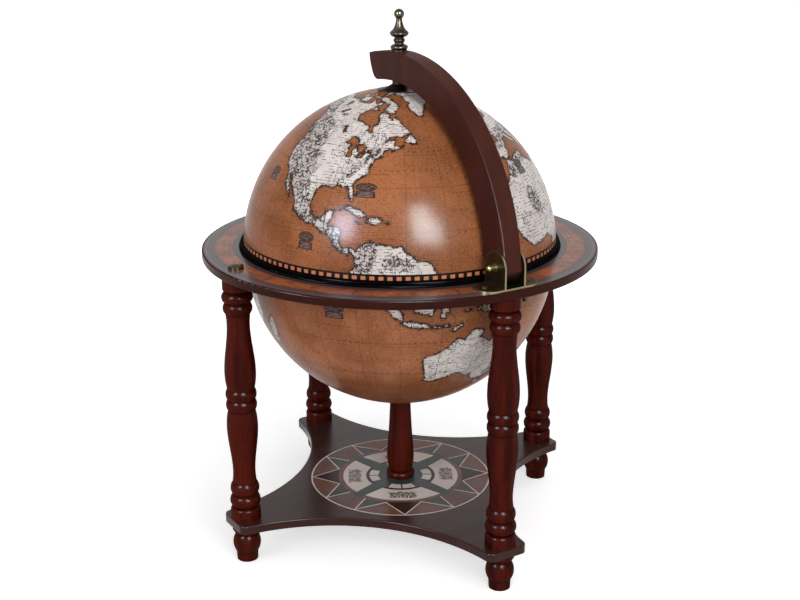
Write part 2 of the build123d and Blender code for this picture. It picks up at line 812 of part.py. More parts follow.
# ---------------------------------------------------------------- meridian arm
foot_rise = arm_foot_z - ring_top
tip_top = (-arm_overrun, ring_top + sqrt(arm_outer_radius**2 - (arm_overrun + arm_flare) ** 2))
tip_back = arm_overrun - arm_tip_slant
tip_foot = (-tip_back, sphere_height(arm_inner_radius, ring_top, tip_back))
tip_middle = (
    (tip_top[0] + tip_foot[0]) / 2 - arm_tip_bulge,
    (tip_top[1] + tip_foot[1]) / 2,
)
foot_outer = (arm_flare + sqrt(arm_outer_radius**2 - foot_rise**2), arm_foot_z)
foot_inner = (sqrt(arm_inner_radius**2 - foot_rise**2), arm_foot_z)
outer_start = degrees(asin(foot_rise / arm_outer_radius))
outer_end = degrees(acos(-(arm_overrun + arm_flare) / arm_outer_radius))
inner_start = degrees(asin(foot_rise / arm_inner_radius))
inner_end = degrees(acos(-tip_back / arm_inner_radius))

with BuildPart() as meridian_arm:
    with BuildSketch(Plane.YZ.offset(-arm_width / 2)) as arm_outline:
        with BuildLine():
            CenterArc(
                (arm_flare, ring_top), arm_outer_radius, outer_start, outer_end - outer_start
            )
            ThreePointArc(tip_top, tip_middle, tip_foot)
            CenterArc((0, ring_top), arm_inner_radius, inner_end, inner_start - inner_end)
            Line(foot_inner, foot_outer)
        make_face()
        fillet(arm_outline.vertices().group_by(Axis.Y)[0], arm_foot_rounding)
        fillet(arm_outline.vertices().sort_by_distance(tip_foot)[0], arm_tip_rounding)
    extrude(amount=arm_width)
    side_faces = meridian_arm.faces().filter_by(Axis.X)
    fillet(side_faces.edges(), arm_edge_rounding)
    with Locations((0, 0, arm_top)):
        Cylinder(
            pivot_radius + screw_hole_clearance,
            arm_depth + drill_reach,
            align=high,
            mode=Mode.SUBTRACT,
        )
    with BuildSketch(Plane.YZ.offset(-arm_width / 2)):
        with Locations((pin_y, pin_z)):
            Circle(bush_radius + screw_hole_clearance)
    extrude(amount=arm_width, mode=Mode.SUBTRACT)
meridian_arm.part.label = "meridian_arm"
export_step(meridian_arm.part, "parts/meridian_arm.step")

with BuildPart() as arm_bush:
    with BuildSketch(Plane.YZ.offset(-arm_width / 2)):
        with Locations((pin_y, pin_z)):
            Circle(bush_radius)
            Circle(pin_radius + running_clearance, mode=Mode.SUBTRACT)
    extrude(amount=arm_width)
arm_bush.part.label = "arm_bush"
export_step(arm_bush.part, "parts/arm_bush.step")

# ---------------------------------------------------------------------- finial
base_top = arm_top + finial_base_height
collar_crest = base_top + finial_collar_rise
collar_top_z = collar_crest + finial_collar_fall
bead_bottom = collar_top_z + finial_stem_length
bead_top = bead_bottom + finial_bead_height
bell_bottom = bead_top + finial_upper_stem_length
bell_flare = bell_bottom + finial_flare_height
bell_crest = bell_flare + finial_bell_rise
bell_shoulder = bell_crest + finial_shoulder_height
bell_throat = bell_shoulder + finial_throat_height
ball_centre = arm_top + finial_ball_height
ball_foot = ball_centre - sqrt(finial_ball_radius**2 - finial_neck_radius**2)
finial_top = ball_centre + finial_ball_radius

with BuildPart() as finial:
    with BuildSketch(turning_plane()):
        with BuildLine():
            Polyline(
                (0, finial_top),
                (0, arm_top),
                (finial_base_radius, arm_top),
                (finial_base_radius, base_top),
            )
            Spline(
                (finial_base_radius, base_top),
                (finial_collar_radius, collar_crest),
                (finial_stem_radius, collar_top_z),
            )
            Line((finial_stem_radius, collar_top_z), (finial_stem_radius, bead_bottom))
            bead(finial_stem_radius, finial_bead_radius, bead_bottom, bead_top)
            Line((finial_stem_radius, bead_top), (finial_stem_radius, bell_bottom))
            Spline(
                (finial_stem_radius, bell_bottom),
                (finial_flare_radius, bell_flare),
                (finial_bell_radius, bell_crest),
                (finial_shoulder_radius, bell_shoulder),
                (finial_throat_radius, bell_throat),
                (finial_neck_radius, ball_foot),
            )
            ThreePointArc(
                (finial_neck_radius, ball_foot),
                (finial_ball_radius, ball_centre),
                (0, finial_top),
            )
        make_face()
    revolve(axis=upright())
    with Locations((0, 0, arm_top)):
        Cylinder(
            stud_radius + screw_hole_clearance,
            stud_length + end_play,
            align=low,
            mode=Mode.SUBTRACT,
        )
finial.part.label = "finial"
export_step(finial.part, "parts/finial.step")

# ---------------------------------------------------------------- pole bearing
with BuildPart() as pivot_bolt:
    with Locations((0, 0, pivot_seat)):
        Cylinder(pivot_head_radius, pivot_head_height, align=high)
        Cylinder(pivot_radius, arm_top - pivot_seat, align=low)
    fillet(pivot_bolt.edges().group_by(Axis.Z)[0], pivot_head_rounding)
    with Locations((0, 0, arm_top)):
        Cylinder(stud_radius, stud_length, align=low)
pivot_bolt.part.label = "pivot_bolt"
export_step(pivot_bolt.part, "parts/pivot_bolt.step")

collar_bottom = dish_top + collar_gap
collar_top = sphere_height(arm_inner_radius, ring_top, collar_radius)

with BuildPart() as pivot_collar:
    with BuildSketch(Plane.XY.offset(collar_bottom)):
        Circle(collar_radius)
        Circle(pivot_radius + screw_hole_clearance, mode=Mode.SUBTRACT)
    extrude(amount=collar_top - collar_bottom)
pivot_collar.part.label = "pivot_collar"
export_step(pivot_collar.part, "parts/pivot_collar.step")

with BuildPart() as pole_bush:
    with BuildSketch(Plane.XY.offset(pole_bush_bottom)):
        Circle(pole_bush_radius)
    extrude(amount=dish_top - pole_bush_bottom)
    with BuildSketch(Plane.XY.offset(pole_bush_bottom)):
        Circle(pole_bush_flange_radius)
    extrude(amount=pole_bush_flange)
    with Locations((0, 0, pole_bush_bottom)):
        Cylinder(
            pivot_radius + running_clearance,
            dish_top - pole_bush_bottom,
            align=low,
            mode=Mode.SUBTRACT,
        )
pole_bush.part.label = "pole_bush"
export_step(pole_bush.part, "parts/pole_bush.step")

plate_ball_radius = dome_inner_radius - seat_gap
plate_top = dome_centre_z + plate_ball_radius
plate_edge_z = sphere_height(plate_ball_radius, dome_centre_z, pole_plate_radius)
plate_angle = degrees(asin(pole_plate_radius / plate_ball_radius))

with BuildPart() as pole_plate:
    with BuildSketch(turning_plane()):
        with BuildLine():
            Polyline(
                (0, plate_top),
                (0, pole_plate_bottom),
                (pole_plate_radius, pole_plate_bottom),
                (pole_plate_radius, plate_edge_z),
            )
            CenterArc((0, dome_centre_z), plate_ball_radius, 90 - plate_angle, plate_angle)
        make_face()
    revolve(axis=upright())
    with Locations((0, 0, pole_plate_bottom)):
        Cylinder(pole_hole_radius, pole_plate_thickness + drill_reach, align=low, mode=Mode.SUBTRACT)
pole_plate.part.label = "pole_plate"
export_step(pole_plate.part, "parts/pole_plate.step")

dish_ball_radius = globe_radius + seat_gap
dish_foot_z = sphere_height(dish_ball_radius, dome_centre_z, dish_radius)
dish_angle = degrees(asin(dish_radius / dish_ball_radius))
dish_waist = (dish_waist_radius, dish_foot_z + dish_rim + dish_waist_rise)

with BuildPart() as pole_dish:
    with BuildSketch(turning_plane()):
        with BuildLine():
            CenterArc((0, dome_centre_z), dish_ball_radius, 90, -dish_angle)
            Line((dish_radius, dish_foot_z), (dish_radius, dish_foot_z + dish_rim))
            ThreePointArc(
                (dish_radius, dish_foot_z + dish_rim), dish_waist, (dish_top_radius, dish_top)
            )
            Polyline(
                (dish_top_radius, dish_top),
                (0, dish_top),
                (0, dome_centre_z + dish_ball_radius),
            )
        make_face()
    revolve(axis=upright())
    with Locations((0, 0, dome_top)):
        Cylinder(pole_hole_radius, 2 * (dish_height + drill_reach), mode=Mode.SUBTRACT)
pole_dish.part.label = "pole_dish"
export_step(pole_dish.part, "parts/pole_dish.step")

# ------------------------------------------------------------------- upper half
edge_rise = dome_edge - dome_centre_z
outer_edge_angle = degrees(asin(edge_rise / globe_radius))
inner_edge_angle = degrees(asin(edge_rise / dome_inner_radius))

with BuildPart() as dome:
    with BuildSketch(turning_plane()):
        with BuildLine():
            CenterArc((0, dome_centre_z), globe_radius, outer_edge_angle, 90 - outer_edge_angle)
            Line((0, dome_top), (0, dome_top - globe_wall))
            CenterArc(
                (0, dome_centre_z), dome_inner_radius, 90, inner_edge_angle - 90
            )
            Line(
                (sqrt(dome_inner_radius**2 - edge_rise**2), dome_edge),
                (sqrt(globe_radius**2 - edge_rise**2), dome_edge),
            )
        make_face()
    revolve(axis=upright())
    with Locations((0, 0, dome_top)):
        Cylinder(pole_hole_radius, 2 * drill_reach, mode=Mode.SUBTRACT)
dome.part.label = "dome"
export_step(dome.part, "parts/dome.step")

lip_radius = globe_radius + glue_gap
lip_top = dome_edge + lid_rim_lip
skirt_top = dome_edge + lid_rim_skirt_height
skirt_radius = sqrt(dome_inner_radius**2 - (skirt_top - dome_centre_z) ** 2) - glue_gap
skirt_bore = skirt_radius - lid_rim_skirt

with BuildPart() as dome_rim:
    with BuildSketch(turning_plane()):
        with BuildLine():
            Polyline(
                (lip_radius, lip_top),
                (lip_radius, dome_edge),
                (skirt_radius, dome_edge),
                (skirt_radius, skirt_top),
                (skirt_bore, skirt_top),
                (skirt_bore, lid_rim_bottom),
                (lid_rim_outer_radius, lid_rim_bottom),
                (lid_rim_outer_radius, dome_edge),
            )
            ThreePointArc(
                (lid_rim_outer_radius, dome_edge),
                (lip_radius + lid_rim_shoulder_out, dome_edge + lid_rim_shoulder_up),
                (lip_radius, lip_top),
            )
        make_face()
    revolve(axis=upright())
dome_rim.part.label = "dome_rim"
export_step(dome_rim.part, "parts/dome_rim.step")
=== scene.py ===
"""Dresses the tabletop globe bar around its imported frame.

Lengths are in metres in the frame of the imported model: +Z up, the origin on the floor under the
middle of the globe, the lid hinge on the +Y side. Printed patterns are reckoned in millimetres.
"""

from __future__ import annotations

import json
import logging
import math
from dataclasses import dataclass, field
from enum import Enum
from functools import cached_property, partialmethod, reduce
from operator import mul, or_
from typing import Protocol

import bpy
import numpy as np
from mathutils import Matrix, Vector

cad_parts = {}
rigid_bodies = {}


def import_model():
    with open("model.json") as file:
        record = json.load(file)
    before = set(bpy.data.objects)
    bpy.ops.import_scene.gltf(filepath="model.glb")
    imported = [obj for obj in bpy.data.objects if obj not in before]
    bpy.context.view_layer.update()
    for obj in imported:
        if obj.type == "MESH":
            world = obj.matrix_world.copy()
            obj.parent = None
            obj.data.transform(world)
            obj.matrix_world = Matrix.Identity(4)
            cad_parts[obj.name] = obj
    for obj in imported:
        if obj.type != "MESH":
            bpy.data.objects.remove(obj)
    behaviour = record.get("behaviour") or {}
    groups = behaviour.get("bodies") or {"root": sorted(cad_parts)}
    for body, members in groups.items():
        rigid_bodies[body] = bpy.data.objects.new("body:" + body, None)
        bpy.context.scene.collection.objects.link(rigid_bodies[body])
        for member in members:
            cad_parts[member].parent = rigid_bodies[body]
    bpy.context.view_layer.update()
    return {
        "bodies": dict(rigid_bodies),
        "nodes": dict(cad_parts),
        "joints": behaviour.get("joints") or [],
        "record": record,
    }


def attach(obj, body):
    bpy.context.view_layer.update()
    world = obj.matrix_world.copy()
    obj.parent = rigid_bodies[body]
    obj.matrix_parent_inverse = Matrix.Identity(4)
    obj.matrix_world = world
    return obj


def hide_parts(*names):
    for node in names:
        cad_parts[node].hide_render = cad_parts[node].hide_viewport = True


LOG = logging.getLogger("globe_bar")
MM = 0.001

Colour = tuple[float, float, float, float]
Pair = tuple[float, float]
WHITE: Colour = (1.0, 1.0, 1.0, 1.0)


def tint(red: float, green: float, blue: float) -> Colour:
    """A screen's red, green and blue of 0 to 255 as the linear colour that a shader takes."""
    parts = (shown / 255.0 for shown in (red, green, blue))
    return (*(p / 12.92 if p <= 0.04045 else ((p + 0.055) / 1.055) ** 2.4 for p in parts), 1.0)


# ------------------------------------------------------------------------------ node bench
class Wire:
    """The result of a node, which takes arithmetic as a number does.

    Beside + - * / and abs(), a | b is the larger of the two. Masks run from 0 to 1, so that a * b
    is a mask of where both are.
    """

    def __init__(self, graph: Graph, socket: bpy.types.NodeSocket) -> None:
        """Keeps the graph and the socket that the result comes from."""
        self.graph, self.socket = graph, socket

    def step(self, operation: str, *others: Value) -> Wire:
        """One Math node: this value first, the others after it."""
        return self.graph.node("Math", dict(enumerate((self, *others))), operation=operation)

    __add__ = __radd__ = partialmethod(step, "ADD")
    __sub__ = partialmethod(step, "SUBTRACT")
    __mul__ = __rmul__ = partialmethod(step, "MULTIPLY")
    __truediv__ = partialmethod(step, "DIVIDE")
    __or__ = partialmethod(step, "MAXIMUM")
    __abs__ = partialmethod(step, "ABSOLUTE")
    cosine = partialmethod(step, "COSINE")
    sine = partialmethod(step, "SINE")
    floor = partialmethod(step, "FLOOR")
    turn = partialmethod(step, "ARCTAN2")

    def __rsub__(self, other: float) -> Wire:
        """A plain number less this value."""
        return self * -1.0 + other

    def hypot(self, other: Wire) -> Wire:
        """Length of the vector whose sides are this value and another."""
        return (self * self + other * other).step("SQRT")

    def rise(self, low: float, high: float) -> Wire:
        """A smooth step from 0 at low to 1 at high, whichever of the two is the larger."""
        ends = {1: min(low, high), 2: max(low, high), 3: float(low > high), 4: float(low < high)}
        return self.graph.node("MapRange", {0: self, **ends}, interpolation_type="SMOOTHSTEP")

    def near(self, reach: float, soft: float) -> Wire:
        """1 where the value's size is under reach, with an edge of soft to either side."""
        return abs(self).rise(reach + soft, reach - soft)

    def comb(self, pitch: float, offset: float = 0.0) -> Wire:
        """Distance from the nearest of a row of marks one pitch apart, with its sign."""
        return (self + (0.5 * pitch - offset)).step("FLOORED_MODULO", pitch) - 0.5 * pitch


Value = Wire | float


@dataclass(frozen=True)
class Gloss:
    """How strongly a surface and the clear coat over it reflect.

    Attributes:
        surface: Reflection of the surface itself, where 0.5 is that of plain glass.
        coat: Weight of the clear coat.
        blur: Roughness of the coat.
        bend: Refraction of the coat, which sets how much it mirrors face on.
    """

    surface: float
    coat: float
    blur: float
    bend: float = 1.5


class Graph:
    """Lays out nodes in one tree."""

    def __init__(self, tree: bpy.types.NodeTree) -> None:
        """Empties the tree."""
        self.tree = tree
        self.tree.nodes.clear()

    def feed(self, socket: bpy.types.NodeSocket, value: Value | Colour) -> None:
        """Links a wire into a socket, or sets a plain value on it.

        Args:
            socket: The socket.
            value: The wire or the value.
        """
        if isinstance(value, Wire):
            self.tree.links.new(value.socket, socket)
        else:
            socket.default_value = value

    def node(
        self, kind: str, inputs: dict[int | str, Value], out: int | str = 0, **settings: object
    ) -> Wire:
        """Adds one node.

        Args:
            kind: The node's type without the leading "ShaderNode".
            inputs: Value of each input, by number or name.
            out: The output to give back.
            **settings: The node's own properties.

        Returns:
            The chosen output.
        """
        made = self.tree.nodes.new("ShaderNode" + kind)
        for key, value in settings.items():
            setattr(made, key, value)
        for key, value in inputs.items():
            self.feed(made.inputs[key], value)
        return Wire(self, made.outputs[out])


class Bench(Graph):
    """Lays out the nodes of one material, and builds up its colour in coats of paint.

    Attributes:
        material: The material.
        shader: Its principled shader.
        paint: The colour as far as it has been laid.
    """

    def __init__(self, name: str, colour: Colour) -> None:
        """Starts a material with one shader.

        Args:
            name: The material's name.
            colour: The first coat.
        """
        self.material = bpy.data.materials.new(name)
        self.material.use_nodes = True
        super().__init__(self.material.node_tree)
        self.shader = self.tree.nodes.new("ShaderNodeBsdfPrincipled")
        end = self.tree.nodes.new("ShaderNodeOutputMaterial")
        self.tree.links.new(self.shader.outputs[0], end.inputs[0])
        self.paint: Wire | Colour = colour

    @cached_property
    def metres(self) -> Wire:
        """Object coordinates in metres."""
        return self.node("TexCoord", {}, "Object")

    @cached_property
    def mm(self) -> Wire:
        """Object coordinates in millimetres."""
        return self.node("VectorMath", {0: self.metres, 3: 1.0 / MM}, operation="SCALE")

    @cached_property
    def xyz(self) -> list[Wire]:
        """Each object coordinate in millimetres."""
        split = self.node("SeparateXYZ", {0: self.mm}).socket.node
        return [Wire(self, output) for output in split.outputs]

    def vector(self, x: Value, y: Value, z: Value) -> Wire:
        """A vector of x, y and z."""
        return self.node("CombineXYZ", {0: x, 1: y, 2: z})

    def stretch(self, vector: Wire, by: tuple[float, float, float]) -> Wire:
        """A vector with each part multiplied."""
        return self.node("VectorMath", {0: vector, 1: by}, operation="MULTIPLY")

    def noise(self, where: Wire, scale: float, detail: float = 2.0, rough: float = 0.5) -> Wire:
        """Soft noise of 0 to 1, with scale blobs to a unit of length and finer octaves."""
        inputs = {"Vector": where, "Scale": scale, "Detail": detail, "Roughness": rough}
        return self.node("TexNoise", inputs)

    def attribute(self, name: str) -> Wire:
        """A number kept on the mesh's vertices."""
        return self.node("Attribute", {}, "Fac", attribute_name=name)

    def mix(self, share: Value, first: Wire | Colour, second: Wire | Colour) -> Wire:
        """Blends two colours: first at share 0, second at share 1."""
        return self.node("Mix", {0: share, 6: first, 7: second}, 2, data_type="RGBA")

    def blend(self, share: Value, first: Value, second: Value) -> Wire:
        """Blends two numbers: first at share 0, second at share 1."""
        return self.node("Mix", {0: share, 2: first, 3: second}, data_type="FLOAT")

    def lay(self, colour: Wire | Colour, *shares: Value) -> None:
        """Lays a colour over the paint, as thick as the shares multiplied together."""
        self.paint = self.mix(reduce(mul, shares), self.paint, colour)

    def bump(self, height: Wire, depth: float, strength: float) -> None:
        """Raises the surface by a height of 0 to 1 times depth in metres."""
        inputs = {"Height": height, "Distance": depth, "Strength": strength}
        self.feed(self.shader.inputs["Normal"], self.node("Bump", inputs))

    def finish(
        self, gloss: Gloss | None, roughness: Value, **others: Value | Colour
    ) -> bpy.types.Material:
        """Sets the shader's sockets.

        Args:
            gloss: Its reflection and coat, or None to leave them as they come.
            roughness: Of the surface.
            **others: Other sockets, named with _ for each space.

        Returns:
            The material.
        """
        sockets = {"Base Color": self.paint, "Roughness": roughness}
        if gloss:
            names = ("Specular IOR Level", "Coat Weight", "Coat Roughness", "Coat IOR")
            sockets.update(zip(names, (gloss.surface, gloss.coat, gloss.blur, gloss.bend)))
        for name, value in (sockets | others).items():
            self.feed(self.shader.inputs[name.replace("_", " ")], value)
        return self.material


# ------------------------------------------------------------------------- plain finishes
class Finish(Protocol):
    """What every finish can do."""

    def material(self) -> bpy.types.Material:
        """Makes the material."""


class Run(Enum):
    """Which way the grain of wood runs, as how fast the grain changes along x, y and z."""

    UPRIGHT = (1.0, 1.0, 0.06)
    ALONG_X = (0.06, 1.0, 1.0)
    ALONG_Y = (1.0, 0.06, 1.0)


@dataclass(frozen=True)
class LacqueredWood:
    """Stained close-grained wood under a clear lacquer.

    Attributes:
        name: The material's name.
        light: The stain where the wood is open.
        dark: The stain where it is dense.
        gloss: Of the wood and its lacquer.
        run: The way of the grain.
        roughness: Of the wood under the lacquer.
        veins: How far the fine grain shows through the stain, 0 to 1.
        figure: How often the slow clouds repeat in a metre across the grain.
        grooves: Heights in millimetres of turned grooves, darkened there with painted shade.
        foot_mm: Height in millimetres under which the wood is darkened with painted shade, or 0 for
            none.
        painted_shade: The colour of the painted shade in the grooves and at the foot.
    """

    name: str
    light: Colour
    dark: Colour
    gloss: Gloss
    run: Run = Run.UPRIGHT
    roughness: float = 0.46
    veins: float = 0.2
    figure: float = 44.0
    grooves: tuple[float, ...] = ()
    foot_mm: float = 0.0
    painted_shade: Colour = tint(20, 7, 5)

    def material(self) -> bpy.types.Material:
        """Slow clouds in the stain along the run, fine grain, and painted shade in the grooves and at
        the foot.

        Returns:
            The material.
        """
        b = Bench(self.name, self.dark)
        along = b.stretch(b.metres, self.run.value)
        grain = b.noise(along, 640.0, 3.0, 0.6)
        open_wood = b.noise(along, self.figure, 3.0).rise(0.34, 0.66)
        b.lay(self.light, open_wood)
        b.lay(self.dark, grain.rise(0.50, 0.72), self.veins)
        if self.grooves:
            # Painted shade: dark bands at the heights of the turned grooves.
            groove_shade = ((b.xyz[2] - at).near(0.4, 2.4) for at in self.grooves)
            b.lay(self.painted_shade, reduce(or_, groove_shade), 0.85)
        if self.foot_mm:
            # Painted shade: darker below foot_mm, where the arm's rounded end turns into shadow.
            b.lay(self.painted_shade, b.xyz[2].rise(self.foot_mm + 1.0, self.foot_mm - 2.0), 0.9)
        b.bump(grain, 0.00005, 0.25)
        return b.finish(self.gloss, b.blend(open_wood, self.roughness + 0.06, self.roughness))


@dataclass(frozen=True)
class AgedMetal:
    """Metal with a thin even tarnish, darker in slow clouds.

    Attributes:
        name: The material's name.
        bright: Colour of the cleaner metal.
        patina: Colour of the tarnish.
        cover: Share of the surface that the tarnish takes, 0 to 1.
        roughness: Of the cleaner metal.
    """

    name: str
    bright: Colour
    patina: Colour
    cover: float
    roughness: float

    def material(self) -> bpy.types.Material:
        """Tarnish is cloudy noise; a fine grain roughens it.

        Returns:
            The material.
        """
        b = Bench(self.name, self.bright)
        clouds, grain = b.noise(b.metres, 95.0, 4.0, 0.6), b.noise(b.metres, 1400.0)
        middle = 0.5 + 0.3 * (0.5 - self.cover)
        tarnish = (clouds * 0.85 + grain * 0.15).rise(middle - 0.16, middle + 0.16)
        b.lay(self.patina, tarnish)
        self.lay_rim_highlight(b)
        b.bump(grain, 0.00004, 0.3)
        return b.finish(None, b.blend(tarnish, self.roughness, self.roughness + 0.16), Metallic=1.0)

    def lay_rim_highlight(self, b: Bench) -> None:
        """Leaves the paint as it is; a finish with a painted highlight on its rims lays it here."""


@dataclass(frozen=True)
class HingeBrass(AgedMetal):
    """Tarnished brass of the hinge bracket, with a painted highlight along the rims of its plates.

    Attributes:
        rim_highlight: Colour of the painted highlight on the rims.
        pin_mm: Distance of the hinge pin from the globe's axis, and its height.
        ear_mm: Radius of the upright plates' round tops, and half the foot plate's width.
        foot_mm: Height of the foot plate's top.
        corner_mm: Distance from the middle at which the foot plate's round corners start.
    """

    rim_highlight: Colour = tint(134, 120, 92)
    pin_mm: Pair = (190.0, 340.0)
    ear_mm: float = 16.0
    foot_mm: float = 322.0
    corner_mm: Pair = (19.0, 2.0)

    def lay_rim_highlight(self, b: Bench) -> None:
        """Brightens the last half millimetre of the upright plates and of the foot plate as a painted
        highlight.

        Args:
            b: The bench.
        """
        x, y, z = b.xyz
        off, across, back = abs(y - self.pin_mm[0]), *self.corner_mm
        ear = off.hypot((z - self.pin_mm[1]) | 0.0).rise(self.ear_mm - 0.7, self.ear_mm - 0.3)
        corner = ((abs(x) - across) | 0.0).hypot((off - back) | 0.0)
        reach = self.ear_mm - back
        foot = corner.rise(reach - 0.9, reach - 0.4) * z.rise(self.foot_mm + 0.2, self.foot_mm)
        # Painted highlight along the rims of the upright plates and the foot plate.
        b.lay(self.rim_highlight, ear | foot, 0.75)


@dataclass(frozen=True)
class BlackEnamel:
    """Glossy black paint with a faint brown bloom and dust.

    Attributes:
        name: The material's name.
        black: The paint.
        bloom: The dust on it.
    """

    name: str = "black enamel"
    black: Colour = tint(7, 5, 7)
    bloom: Colour = tint(24, 19, 22)

    def material(self) -> bpy.types.Material:
        """A few soft clouds of bloom over black, and fine orange peel.

        Returns:
            The material.
        """
        b = Bench(self.name, self.black)
        clouds = b.noise(b.metres, 45.0, 4.0, 0.6).rise(0.50, 0.78)
        b.lay(self.bloom, clouds, 0.4)
        b.bump(b.noise(b.metres, 520.0, 1.0), 0.00005, 0.25)
        return b.finish(Gloss(0.0, 0.03, 0.14), b.blend(clouds, 0.3, 0.42))


# ------------------------------------------------------------------------ printed finishes
@dataclass(frozen=True)
class Plaque:
    """A little dark cartouche printed on the map.

    Attributes:
        turn: Its direction about the globe's axis, in degrees.
        rise: Its height above the half's equator, in degrees.
        width: Half its width in millimetres.
        height: Half its height in millimetres.
    """

    turn: float
    rise: float
    width: float = 10.0
    height: float = 8.2


class MapBench(Bench):
    """A bench that knows where each spot lies on one half of the globe.

    Attributes:
        turn: Angle about the globe's axis.
        lift: Angle above the half's equator.
        narrow: Length of the spot's parallel, as a share of the equator's.
        along: Millimetres along the parallel.
        up: Millimetres up the meridian.
        coast: Millimetres from the shore, positive on land.
    """

    def __init__(self, name: str, colour: Colour, radius: float, centre: float) -> None:
        """Works the angles out from object coordinates, and roughens the shore.

        Args:
            name: The material's name.
            colour: The first coat.
            radius: Of the half, in millimetres.
            centre: Height of its centre in millimetres.
        """
        super().__init__(name, colour)
        x, y, z = self.xyz
        self.turn = y.turn(x)
        sine = ((z - centre) / radius).step("MINIMUM", 1.0) | -1.0
        self.lift = sine.step("ARCSINE")
        self.narrow = self.lift.cosine()
        self.along, self.up = self.turn * self.narrow * radius, self.lift * radius
        bays, inlets = self.noise(self.mm, 0.2, 3.0, 0.6), self.noise(self.mm, 0.8)
        self.coast = self.attribute("coast") + (bays - 0.5) * 5.0 + (inlets - 0.5) * 2.2

    def beat(self, stretch: float, row: Wire, layer: float) -> Wire:
        """Noise along each row of print, different from row to row and from layer to layer."""
        return self.noise(self.vector(self.along * stretch, row, layer), 1.0, 1.0)


